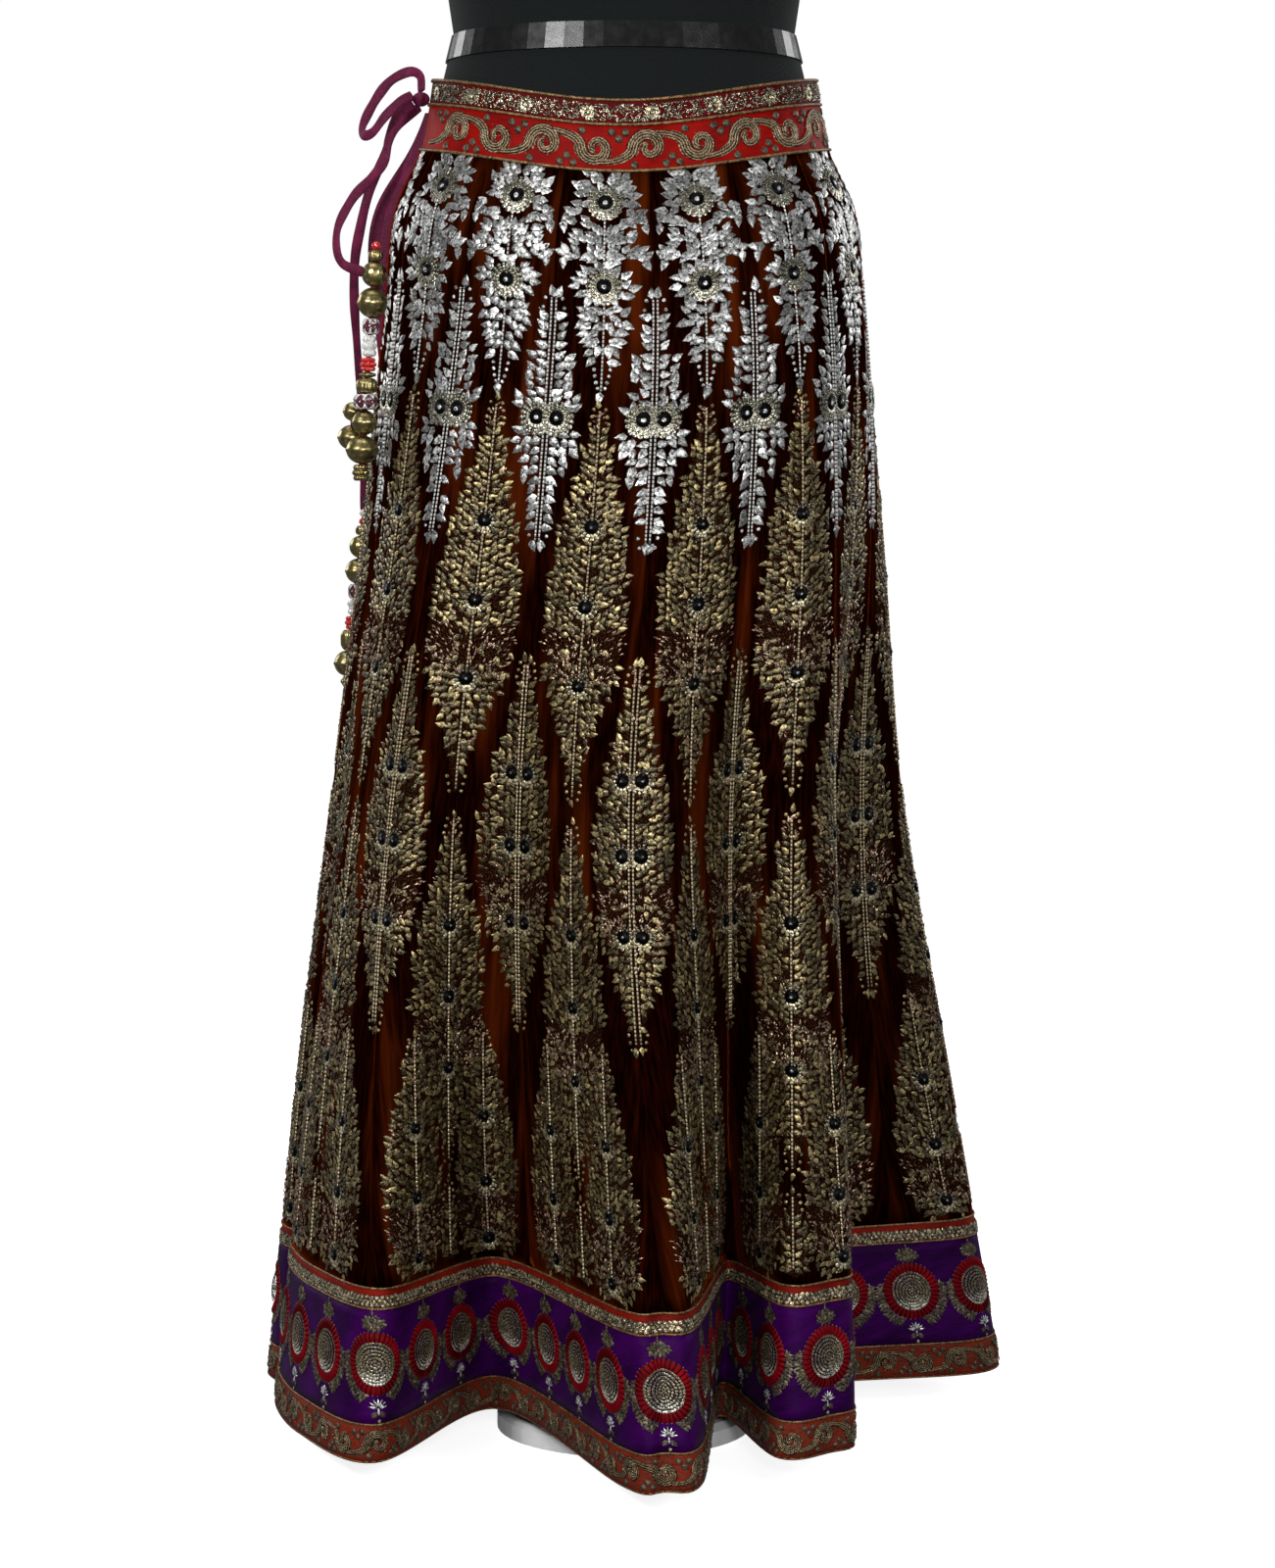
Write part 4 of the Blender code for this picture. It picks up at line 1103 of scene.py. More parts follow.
mark_grounds()
SPRAYS["A"] = {"silver": True, "double": False, "where": "centre", "flowers": BOUQUET_FLOWERS,
               "outline": [(0.004, 0.026), (0.205, 0.001)]}
coils = Scatter()
for key, spray in SPRAYS.items():
    sew_row(key, spray, coils)
coils.make("copper_coils", COPPER_WORK, "zari")

# %% [markdown]
# Each flower is a black domed eye with a white ring bead, in a scallop of overlapped sequins. The
# lowest sequins are the largest, and are painted the brightest as a painted highlight. The spines
# are fine beaded cords, single at a gore's middle and double over a seam.

# %% Flowers and spines
SCALLOPS = {"silver": 18, "gold": 14}

# Each turn of sequins round a flower: its share of the flower's reach, and its height off the cloth
FLOWER_CIRCLES = {"silver": ((0.94, 0.0003), (0.76, 0.0008), (0.58, 0.0013)),
                  "gold": ((0.92, 0.0004), (0.70, 0.0010))}
EYE_RADIUS = {"silver": 0.0058, "gold": 0.0047}
PIP_RADIUS = {"silver": 0.0019, "gold": 0.0012}
PIP_TONE = {"silver": 0.9, "gold": 0.1}


def lay_flower(parts, share, down, across, kind):
    """Lay one flower: its eye, its bead, and its turns of sequins, three on silver and two on gold."""
    eyes, rings, pips = parts
    eye = EYE_RADIUS[kind] * rng.uniform(0.85, 1.1)
    reach = FLOWER_REACH[kind]
    eyes.lay(BUTTON, share, 0.0, across, down, 0.0, eye, eye, 0.0020, 0.0002, rng.uniform(0.2, 0.8))
    pip = PIP_RADIUS[kind]
    pips.lay(BEAD, share, 0.0, across, down, 0.0, pip, pip, 0.0008, 0.0020, PIP_TONE[kind])
    count = SCALLOPS[kind]
    turn = np.arange(count) * 2 * np.pi / count + rng.uniform(0, 1)
    low = 0.5 - 0.5 * np.cos(turn + np.pi)
    for share_out, off in FLOWER_CIRCLES[kind]:
        side = across + reach * share_out * np.sin(turn)
        level = down + reach * share_out * np.cos(turn)
        # The lowest sequins are painted brightest: a painted highlight where the light falls on the ring.
        glow = np.clip(rng.uniform(0.0, 0.35, count) + 0.9 * low**2, 0, 1)
        size = reach * (0.145 + 0.05 * low)
        rings.lay(BEAD, share, 0.0, side, level, 0.0, size, size, 0.0009, off, glow)


def add_flowers():
    eyes, pips = Scatter(), Scatter()
    rings = {"silver": Scatter(), "gold": Scatter()}
    for spray in SPRAYS.values():
        kind = "silver" if spray["silver"] else "gold"
        sides = (-FLOWER_SIDE, FLOWER_SIDE) if spray["double"] else (0.0,)
        for share in spray_shares(spray["where"]):
            for flower in spray["flowers"]:
                down = flower * VELVET_LENGTH
                for across in sides:
                    edges = np.array([across - 0.004, across + 0.004])
                    if placket_clear(share, np.full(2, down), edges).all():
                        lay_flower((eyes, rings[kind], pips), share, down, across, kind)
    eyes.make("flower_eyes", BLACK_BEAD, "black_bead")
    rings["gold"].make("flower_sequins_gold", SEQUIN_GOLD, "zari")
    rings["silver"].make("flower_sequins_silver", CHAMPAGNE, "silver_work")
    pips.make("flower_pips", SILVER_LEAF, "white_bead")


def add_spines():
    """Fine cords down each spray, a pair where the spray straddles a seam."""
    tubes = {"silver": [], "gold": []}
    for spray in SPRAYS.values():
        outline = np.array(spray["outline"])
        down = np.linspace(outline[0, 0] + 0.008, outline[-1, 0] - 0.008, 26) * VELVET_LENGTH
        sides = (-0.0015, 0.0015) if spray["double"] else (0.0,)
        for share in spray_shares(spray["where"]):
            for across in sides:
                if not placket_clear(share, down, np.full(len(down), across)).all():
                    continue
                path = near(share, 0.0, np.full(len(down), across), down, 0.0007)
                out = read_grid(LEVEL_NORMALS, np.full(len(down), share), down / CLOTH_HEIGHT)
                tubes["silver" if spray["silver"] else "gold"].append(tube_grid(path, 0.0008, 0.0007, 4, out))
    join_tubes("spines_silver", tubes["silver"], SPINE_SILVER)
    join_tubes("spines_gold", tubes["gold"], SPINE_GOLD)


add_flowers()
add_spines()

# %% [markdown]
# The purple band carries round medallions about as far apart as they are wide: a gathered crimson
# ring, a disc of sequins laid in circles, a silver fan below, and dull leaves round and above.

# %% Medallions
MEDALLIONS = 50
MEDALLION_DOWN = PURPLE_TOP * CLOTH_HEIGHT + 0.0375
RING_OUTER = 0.0212
RING_INNER = 0.0150
DISC_RADIUS = 0.0148
DISC_CROWN = 0.0026

# The ring's section from its outer edge inwards: reach and height
RING_PROFILE = ((RING_OUTER, 0.0), (0.0200, 0.0014), (0.0176, 0.0019), (RING_INNER, 0.0012))


def gathered_ring(share):
    """A gathered ring: a low round section whose height ripples with each gather."""
    turn = np.linspace(0, 2 * np.pi, GATHERS * 3, endpoint=False)
    ripple = 0.5 + 0.5 * np.cos(turn * GATHERS)
    rows = []
    for step, (reach, height) in enumerate(RING_PROFILE):
        radius = reach + (0.0007 * ripple if step == 0 else 0.0)
        lift = height * (0.30 + 0.70 * ripple) + 0.0005
        rows.append(near(share, 0.0, radius * np.sin(turn), MEDALLION_DOWN + radius * np.cos(turn), lift))
    return np.array(rows)


def add_medallions():
    rings, ring_faces, ring_uv = [], [], []
    sequins, dull, fans, pips = Scatter(), Scatter(), Scatter(), Scatter()
    start = 0
    for number in range(MEDALLIONS):
        share = (number + 0.35) / MEDALLIONS
        grid = gathered_ring(share)
        rows, columns = grid.shape[:2]
        rings.append(grid.reshape(-1, 3))
        ring_faces.append(grid_quads(rows, columns, start=start)[1][:, ::-1])
        around = np.linspace(0, 1, columns, endpoint=False)[None] * RING_UV
        inwards = np.arange(rows)[:, None] * 0.002
        ring_uv.append(np.stack(np.broadcast_arrays(around, inwards), axis=-1).reshape(-1, 2))
        start += rows * columns
        for circle, reach in enumerate(np.arange(0.0, DISC_RADIUS + 0.0001, 0.00235)):
            count = max(1, int(2 * np.pi * reach / 0.0022))
            angle = np.arange(count) * 2 * np.pi / count + circle
            crown = DISC_CROWN * (1 - (reach / DISC_RADIUS) ** 2)
            # The lower sequins are painted brighter: a painted highlight where the light falls on the disc.
            low = reach * np.cos(angle) / DISC_RADIUS
            glow = np.clip(rng.uniform(0.0, 0.40, count) + 1.8 * (low - 0.25), 0, 1)
            sequins.lay(BEAD, share, 0.0, reach * np.sin(angle), MEDALLION_DOWN + reach * np.cos(angle),
                        angle * -1.0, 0.00135, 0.00115, 0.0007, 0.0008 + crown, glow)
        lay_fan(fans, dull, pips, share)
        lay_wreath(dull, share)
    add_piece("medallion_rings", np.concatenate(rings), np.concatenate(ring_faces), CRIMSON_SILK,
              np.concatenate(ring_uv))
    sequins.make("medallion_sequins", DISC_SEQUIN, "zari")
    dull.make("medallion_leaves", DULL_ZARI, "zari")
    fans.make("medallion_fans", SILVER_LEAF, "silver_work")
    pips.make("medallion_pips", SEQUIN_GOLD, "zari")


def lay_fan(fans, dull, pips, share):
    """Seven silver rays that spread below the ring, their stem, small leaves and a bead under it."""
    spread = np.radians(np.linspace(-78, 78, 7))
    foot = MEDALLION_DOWN + 0.0305
    across = 0.0041 * np.sin(spread)
    down = foot - 0.0041 * np.cos(spread)
    fans.lay(LEAF, share, 0.0, across, down, spread, 0.0009, 0.0030, 0.0010, 0.0006, 0.9)
    fans.lay(LEAF, share, 0.0, 0.0, foot + 0.0020, 0.0, 0.0010, 0.0028, 0.0009, 0.0006, 0.8)
    pips.lay(BEAD, share, 0.0, 0.0, foot + 0.0086, 0.0, 0.0014, 0.0014, 0.0010, 0.0006, 0.8)
    side = np.array([-1, 1, -1, 1])
    rise = np.array([0.0036, 0.0036, 0.0052, 0.0052])
    dull.lay(LEAF, share, 0.0, side * 0.0032, foot + rise, side * 1.9, 0.0012, 0.0024, 0.0008, 0.0006, 0.5)


# The turn from one leaf of the crown to the next, which fills a disc evenly
GOLDEN_ANGLE = 2.399963
CROWN_LEAVES = 34


def lay_wreath(dull, share):
    """Dull fronds that hug the ring's lower half, a leafy crown above it, and dots round its edge."""
    steps = np.arange(15)
    for side in (-1, 1):
        for row in range(3):
            angle = np.radians(20 + steps * (6.0 - 0.4 * row) + 3 * row)
            reach = RING_OUTER + 0.0022 + 0.0025 * row - 0.0014 * (steps / 14) ** 2 * row
            turn = side * (np.pi - angle - 0.75 + 0.35 * row + rng.normal(0, 0.5, 15))
            tone = rng.uniform(0, 1, 15)
            dull.lay(LEAF, share, 0.0, side * reach * np.sin(angle), MEDALLION_DOWN + reach * np.cos(angle),
                     turn, 0.0013, 0.0024, 0.0008, 0.0006, tone)
    count = np.arange(CROWN_LEAVES)
    spin = count * GOLDEN_ANGLE
    spread = np.sqrt((count + 0.5) / CROWN_LEAVES)
    across = 0.0082 * spread * np.sin(spin)
    down = MEDALLION_DOWN - RING_OUTER - 0.0062 + 0.0046 * spread * np.cos(spin)
    tone = rng.uniform(0, 1, CROWN_LEAVES)
    dull.lay(LEAF, share, 0.0, across, down, spin * -1.0, 0.0013, 0.0021, 0.0008, 0.0006, tone)
    stalk = -np.array([0.0122, 0.0140, 0.0156]) + MEDALLION_DOWN - RING_OUTER
    dull.lay(LEAF, share, 0.0, 0.0, stalk, 0.0, 0.0010, 0.0013, 0.0008, 0.0006, 0.6)
    dots = np.arange(40) * np.pi / 20
    edge = RING_OUTER + 0.0007
    dull.lay(COIL, share, 0.0, edge * np.sin(dots), MEDALLION_DOWN + edge * np.cos(dots), 0.0, 0.0005, 0.0005,
             0.0006, 0.0005, 0.9)


add_medallions()

# %% [markdown]
# Scroll vines are spirals of zari couched in close parallel rows. One spiral is a radius that
# shrinks with its turn, and a low wide oval carried along it. Its tail sweeps on under the next.

# %% Scroll vines and beadwork


def couched_material(name, dark, light, pitch=0.0020):
    """Couched cord: UV y runs across the ribbon, so a sine of it draws the parallel rows."""
    desk = Desk(name, roughness=0.42, metallic=0.55)
    along, across = desk.parts(desk.uv())[:2]
    rows = (across * (2 * math.pi / pitch)).sine()
    stitches = (along * (2 * math.pi / 0.0022) + across * 2200.0).sine()
    grain = desk.noise(520.0, 3.0, 0.7)
    share = rows * 0.30 + stitches * 0.20 + (grain - 0.5) * 2.2 + 0.45
    desk.colour(desk.blend(share.ramp(0.10, 1.0), dark, light))
    desk.rough(grain * 0.3 + 0.3)
    desk.bump(rows + grain, 0.8, 0.0006)
    return desk.material


SPIRAL_POINTS = 36
SPIRAL_TURNS = 1.18


def spiral(middle, size, flip):
    """One scroll: a stem swings up from under the last one, then winds in to its heart."""
    wind = np.linspace(0, 1, SPIRAL_POINTS)
    radius = size * (1 - 0.88 * wind)
    angle = math.pi + wind * SPIRAL_TURNS * 2 * np.pi
    stem = np.linspace(0, np.pi / 2, 11)[:-1]
    stem_across = middle - size * (3.1 - 2.1 * np.sin(stem))
    stem_down = flip * size * 0.92 * np.cos(stem)
    swell = np.interp(wind, [0, 0.25, 0.5, 0.75, 0.9, 1], [1.0, 1.0, 0.74, 0.50, 0.72, 0.66])
    across = np.append(stem_across, middle + radius * np.cos(angle))
    down = np.append(stem_down, flip * radius * np.sin(angle))
    return across, down, np.append(np.linspace(0.35, 1.0, 10), swell)


def add_vine(name, fraction, pitch, size, breadth, height, material, closed, glints):
    """Alternate spirals along a band, one up and one down, with round lobes at their shoulders."""
    length = float(ring_length(fraction))
    count = int(length / pitch)
    step = length / count
    tubes, uv = [], []
    lobes, shine = Scatter(), Scatter()
    for number in range(count):
        middle = (number + 0.5) * step
        if not closed and not size * 2.9 < middle < length - 0.030 - size * 0.4:
            continue
        flip = 1 if number % 2 else -1
        across, down, swell = spiral(middle, size, flip)
        share = across / length
        level = fraction + down / CLOTH_HEIGHT
        path = cloth(share, level, 0.0008)
        out = read_grid(LEVEL_NORMALS, share, level)
        tubes.append(tube_grid(path, height, breadth * swell, 6, out))
        along = np.concatenate([[0], np.cumsum(np.linalg.norm(np.diff(path, axis=0), axis=1))])
        side = np.cos(np.linspace(0, 2 * np.pi, 6, endpoint=False))
        ribbon = side[None] * (breadth * swell)[:, None]
        uv.append(np.stack(np.broadcast_arrays(along[:, None], ribbon), axis=-1).reshape(-1, 2))
        pick = rng.integers(6, len(across), glints)
        aside = rng.uniform(-0.85, 0.85, glints) * breadth
        shine.lay(BEAD, middle / length, fraction, across[pick] - middle + aside, down[pick] + aside[::-1], 0.0,
                  0.0005, 0.0005, 0.0007, 0.0008 + height, rng.uniform(0, 1, glints))
        spots = np.array([(-1.42, -1.02), (-2.30, -1.02), (-1.86, -0.60), (-0.92, 1.05)]) * size
        lobes.lay(BUTTON, middle / length, fraction, spots[:, 0], flip * spots[:, 1], 0.0,
                  breadth * 0.62, breadth * 0.62, height * 1.1, 0.0007, 0.5)
    join_tubes(name, tubes, material, np.concatenate(uv))
    lobes.make(f"{name}_lobes", DULL_ZARI, "zari")
    shine.make(f"{name}_glints", SEQUIN_GOLD, "zari")


WAIST_COUCHING = couched_material("waist_couching", (0.035, 0.016, 0.006), (0.58, 0.43, 0.25))
HEM_COUCHING = couched_material("hem_couching", (0.025, 0.013, 0.005), (0.42, 0.30, 0.155), 0.0016)
BAND_VINE_LEVEL = BAND_SPLIT / 2
add_vine("waist_vine", BAND_VINE_LEVEL, 0.0350, 0.0109, 0.0046, 0.0010, WAIST_COUCHING, False, 20)
add_vine("hem_vine", (SCROLL_TOP + 1.0) / 2, 0.0280, 0.0078, 0.0034, 0.0007, HEM_COUCHING, True, 26)


def add_band_beads():
    """Beads packed over the upper waistband, with sequin flowers, and three rows on the hem's top band."""
    packed = Scatter()
    flowers = Scatter()
    length = float(ring_length(BAND_TOP))
    rows = np.arange(0.0046, UPPER_BAND_HEIGHT - 0.0028, 0.0015)
    for row, drop in enumerate(rows):
        fraction = BAND_TOP + drop / CLOTH_HEIGHT
        across = np.arange(0.006, length - 0.030, 0.0018) + (row % 2) * 0.0009
        across = across + rng.normal(0, 0.0004, len(across))
        keep = rng.uniform(0, 1, len(across)) > 0.38
        across = across[keep]
        tone = rng.uniform(0, 1, len(across))
        size = rng.uniform(0.0007, 0.0010, len(across))
        lean = rng.uniform(0, math.pi, len(across))
        packed.lay(COIL, across / length, fraction, 0.0, 0.0, lean, size, size * 2.1, 0.0010, 0.0007, tone)
    for middle in np.arange(0.018, length - 0.040, 0.044):
        angle = np.arange(8) * np.pi / 4
        drop = BAND_TOP + (UPPER_BAND_HEIGHT * 0.56) / CLOTH_HEIGHT
        flowers.lay(BEAD, middle / length, drop, 0.0036 * np.sin(angle), 0.0036 * np.cos(angle),
                    0.0, 0.0020, 0.0020, 0.0009, 0.0012, rng.uniform(0.4, 1, 8))
        flowers.lay(BEAD, middle / length, drop, 0.0, 0.0, 0.0, 0.0016, 0.0016, 0.0012, 0.0018, 1.0)
    packed.make("waist_beads", BUGLE_BEAD, "zari")
    flowers.make("waist_sequin_flowers", SEQUIN_GOLD, "zari")
    hem = Scatter()
    fraction = BORDER_TOP + BORDER["beaded"] / CLOTH_HEIGHT
    length = float(ring_length(fraction))
    for row, rise in enumerate((0.0024, 0.0050, 0.0076)):
        across = np.arange(0.0, length, 0.0037) + (row % 2) * 0.0018
        glow = rng.uniform(0.1, 1, len(across))
        lean = rng.normal(0, 0.0003, len(across))
        level = fraction - rise / CLOTH_HEIGHT
        for size, height, off, tone in ((0.0019, 0.0008, 0.0006, glow), (0.0007, 0.0007, 0.0013, 1.0)):
            hem.lay(BEAD, across / length, level, 0.0, lean, 0.0, size, size, height, off, tone)
    hem.make("hem_sequins", SEQUIN_GOLD, "zari")


BUGLE_BEAD = metal_work_material("bugle_bead", (0.10, 0.075, 0.035), (0.74, 0.68, 0.50), 0.25, 0.85, 0.1)
add_band_beads()

# %% [markdown]
# The gusset in the placket is wine velvet, gathered into soft pleats that swell out between the
# two edges.

# %% The gusset


def wine_material():
    desk = Desk("wine_velvet", roughness=0.7, Sheen_Weight=0.3, Sheen_Roughness=0.35,
                Sheen_Tint=(0.9, 0.12, 0.30, 1.0), Specular_IOR_Level=0.25)
    nap = desk.noise(900.0, 3.0)
    clouds = desk.noise(60.0, 3.0)
    pile = desk.blend(nap.ramp(0.35, 0.7), (0.055, 0.0020, 0.016), (0.150, 0.0065, 0.048))
    desk.colour(desk.blend(clouds.ramp(0.45, 0.75) * 0.5, pile, (0.26, 0.016, 0.085)))
    desk.bump(nap + clouds * 0.5, 0.35, 0.0005)
    return desk.material


WINE = wine_material()
GUSSET_PLEATS = 4.5


def add_gusset():
    """Across the placket the cloth swells as a low arch, with pleats that fade downwards."""
    rows, columns = 44, 48
    fraction = np.linspace(-0.030, PLACKET_END - 0.006, rows)[:, None]
    across = np.linspace(0, 1, columns)[None, :]
    front, back = placket(np.maximum(fraction, 0))
    margin = 0.0004 / ring_length(np.maximum(fraction, 0))
    left = back - 1 + margin
    share = left + across * (front - margin - left)
    down = (fraction + 0.030) / (PLACKET_END + 0.024)
    swell = 0.014 * np.sin(np.pi * np.clip(down * 0.94 + 0.03, 0, 1)) ** 1.2
    pleat = 0.0022 * (1 - 0.55 * down) * np.sin(across * 2 * np.pi * GUSSET_PLEATS + 1.5 * down)
    lift = -0.0010 + (swell + pleat) * np.sin(np.pi * across) ** 0.6
    level = np.broadcast_to(fraction, share.shape)
    outer = cloth(share, level, lift).reshape(-1, 3)
    inner = cloth(share, level, lift - 0.0012).reshape(-1, 3)
    faces = wall_faces(rows, columns, False)
    gusset = add_piece("side_gusset_cloth", np.concatenate([outer, inner]), faces, WINE,
                       None, ("side_gusset",))


add_gusset()
front_edge = np.linspace(-0.0005, PLACKET_END, 60)
edge_share, _ = placket(front_edge)
edge_path = cloth(edge_share, front_edge, 0.0004)
edge_out = read_grid(LEVEL_NORMALS, edge_share, front_edge)
join_tubes("placket_piping", [tube_grid(edge_path, 0.0008, 0.0008, 6, edge_out)], RUST_SILK)

# %% [markdown]
# The drawstring is a narrow velvet tube, a little flat. Its route is the solids' own, read along a
# smooth curve.

# %% Ties
TIE_WIDTH = 0.0056
UPPER_LOOP = [
    (-0.1440, -0.0190, 0.9700), (-0.1456, -0.0120, 0.9815), (-0.1540, -0.0060, 0.9850),
    (-0.1680, -0.0070, 0.9775), (-0.1790, -0.0110, 0.9620), (-0.1860, -0.0170, 0.9460),
    (-0.1850, -0.0240, 0.9385), (-0.1780, -0.0300, 0.9400), (-0.1690, -0.0320, 0.9510),
    (-0.1590, -0.0300, 0.9610), (-0.1503, -0.0258, 0.9660),
]
FRONT_TAIL = [
    (-0.1499, -0.0200, 0.9608), (-0.1620, -0.0225, 0.9520), (-0.1670, -0.0255, 0.9360),
    (-0.1700, -0.0300, 0.9200), (-0.1780, -0.0360, 0.9080), (-0.1910, -0.0440, 0.8930),
    (-0.2010, -0.0510, 0.8730), (-0.2022, -0.0560, 0.8570), (-0.1975, -0.0600, 0.8455),
    (-0.1842, -0.0620, 0.8398),
]
BACK_TAIL = [
    (-0.1460, -0.0146, 0.9592), (-0.1640, -0.0040, 0.9450), (-0.1730, 0.0020, 0.9250),
    (-0.1835, 0.0040, 0.9010), (-0.1907, 0.0080, 0.8740), (-0.1950, 0.0140, 0.8510),
    (-0.1960, 0.0220, 0.8200), (-0.1945, 0.0340, 0.7800), (-0.1930, 0.0450, 0.7400),
    (-0.1920, 0.0530, 0.7000), (-0.1918, 0.0550, 0.6735),
]


def smooth_route(route, samples):
    """Read a smooth curve through the route's points, evenly along its length."""
    route = np.array(route)
    ends = np.vstack([2 * route[0] - route[1], route, 2 * route[-1] - route[-2]])
    s = np.linspace(0, 1, 24, endpoint=False)[None, :, None]
    spans = [ends[k : len(ends) - 3 + k, None, :] for k in range(4)]
    dense = np.vstack([catmull_rom(*spans, s).reshape(-1, 3), route[-1:]])
    return by_arc_length(dense, np.linspace(0, 1, samples))


def add_tie(name, route, node, thread=()):
    """Carry a flattened oval along the route, then on as a round thread through the tassel's beads."""
    path = smooth_route(route, 90)
    width = TIE_WIDTH / 2 * (1 + 0.06 * np.sin(np.linspace(0, 40, len(path))))
    height = width * 0.42
    width = width * 1.26
    twist = 0.35 * np.sin(np.linspace(0, 9, len(path)) + len(route))
    out = np.stack([-0.30 + twist, np.full(len(path), -0.95), 0.2 * twist], axis=-1)
    if len(thread):
        inside = smooth_route([path[-1], *thread], 40)[1:]
        path = np.vstack([path, inside])
        height = np.append(height, np.full(len(inside), THREAD_RADIUS))
        width = np.append(width, np.full(len(inside), THREAD_RADIUS))
        out = np.vstack([out, np.tile(out[-1], (len(inside), 1))])
    grid = tube_grid(path, height, width, 12, out)
    return join_tubes(name, [grid], WINE, None, (node,)), path


def bead_line(top, lean, depths):
    """Points on a tassel's leaning line at depths below its top."""
    return [(top[0] - lean * depth, top[1], top[2] - depth) for depth in depths]


THREAD_RADIUS = 0.0019
FRONT_TASSEL_TOP = (-0.1735, -0.0620, 0.8608)
FRONT_TASSEL_LEAN = 0.075
FRONT_THREAD = bead_line(FRONT_TASSEL_TOP, FRONT_TASSEL_LEAN, (0.0230, 0.0300, 0.0700, 0.1100, 0.1640))
BACK_TASSEL_TOP = (-0.1918, 0.0550, 0.6732)
BACK_TASSEL_LEAN = 0.120
BACK_THREAD = bead_line(BACK_TASSEL_TOP, BACK_TASSEL_LEAN, (0.0100, 0.0500, 0.0900, 0.1260))
loop_piece, loop_path = add_tie("tie_loop_upper_velvet", UPPER_LOOP, "tie_loop_upper")
front_piece, front_path = add_tie("tie_tail_front_velvet", FRONT_TAIL, "tie_tail_front", FRONT_THREAD)
back_piece, back_path = add_tie("tie_tail_back_velvet", BACK_TAIL, "tie_tail_back", BACK_THREAD)
print("tie lengths:", [round(route_length(path), 3) for path in (loop_path, front_path, back_path)])

# %% [markdown]
# Each tassel is a stack of beads. Turned profiles carry ribs, petals and engraving as ripples of
# their radius, so the outline is real and not painted.

# %% Tassels


def brass_material():
    desk = Desk("antique_brass", roughness=0.32, metallic=1.0)
    pits = desk.cells(300.0)
    stain = desk.noise(160.0, 4.0)
    # The pits and stains are the brass's own wear, with no painted light.
    wear_and_painted_light = desk.blend(pits.ramp(0.10, 0.5), (0.66, 0.57, 0.28), (0.33, 0.265, 0.11))
    desk.colour(desk.blend(stain.ramp(0.45, 0.7) * 0.6, wear_and_painted_light, (0.10, 0.085, 0.035)))
    desk.rough(stain * 0.35 + 0.14)
    desk.bump(pits, 0.35, 0.0004)
    return desk.material


def glass_material(name, colour, roughness=0.08):
    desk = Desk(name, roughness=roughness, Coat_Weight=0.8, Specular_IOR_Level=0.7)
    facets = desk.cells(480.0)
    bright = tuple(min(1.0, c * 2.4 + 0.02) for c in colour)
    desk.colour(desk.blend(facets.ramp(0.1, 0.7), bright, colour))
    desk.bump(facets, 0.8, 0.0006)
    return desk.material


BRASS = brass_material()
RED_GLASS = glass_material("red_glass", (0.42, 0.012, 0.008))
WHITE_BEAD = glass_material("white_bead", (0.62, 0.61, 0.57), 0.2)
MAROON_BEAD = glass_material("maroon_bead", (0.05, 0.004, 0.010), 0.2)

# Profile shapes: how a bead's radius runs from foot (-1) to head (+1)
BALL_TURNS = np.linspace(-1, 1, 19)


def bead_grid(centre, radius, height, shape, ribs=0, depth=0.0, equator=0.0, sides=48):
    """Turn a profile about an upright axis, with ribs round it and a seam at its equator."""
    t = BALL_TURNS[:, None]
    turn = np.linspace(0, 2 * np.pi, sides, endpoint=False)[None, :]
    if shape == "ball":
        profile = np.cos(t * np.pi / 2 * 0.93)
        rise = np.sin(t * np.pi / 2 * 0.93) / math.sin(math.pi / 2 * 0.93)
    else:
        profile = 1 - 0.34 * np.abs(t) ** 3.5
        rise = t
    reach = radius * profile * (1 + depth * np.cos(turn * ribs) * (1 - t**4))
    reach = reach + equator * np.exp(-((t / 0.07) ** 2))
    x = centre[0] + reach * np.sin(turn)
    y = centre[1] - reach * np.cos(turn)
    z = centre[2] + height / 2 * rise + 0 * turn
    return np.stack([x, y, z], axis=-1)


def add_bead(name, grid, material, node):
    rows, sides = grid.shape[:2]
    quads = tube_faces(rows, sides)
    caps = np.concatenate([cap_faces(sides, 0, True), cap_faces(sides, (rows - 1) * sides, False)])
    return add_piece(name, grid, [quads, caps], material, None, (node,))


def petal_collar(centre, radius, height, end, petals=8, sides=48):
    """A zigzag collar of petals: it starts tucked in at one end, and its points reach past halfway."""
    turn = np.linspace(0, 2 * np.pi, sides, endpoint=False)
    zigzag = np.abs(((turn * petals / np.pi) % 2) - 1)
    edge = 0.90 - 0.72 * zigzag**2
    rows = []
    for step, reach in ((0.0, 0.80), (0.1, 1.02), (0.5, 1.06), (0.9, 1.05), (1.0, 0.94)):
        t = end * (0.97 + (edge - 0.97) * step)
        around = radius * (1 - 0.34 * np.abs(t) ** 3.5) * reach
        x = centre[0] + around * np.sin(turn)
        y = centre[1] - around * np.cos(turn)
        rows.append(np.stack([x, y, centre[2] + height / 2 * t], axis=-1))
    return np.array(rows if end > 0 else rows[::-1])


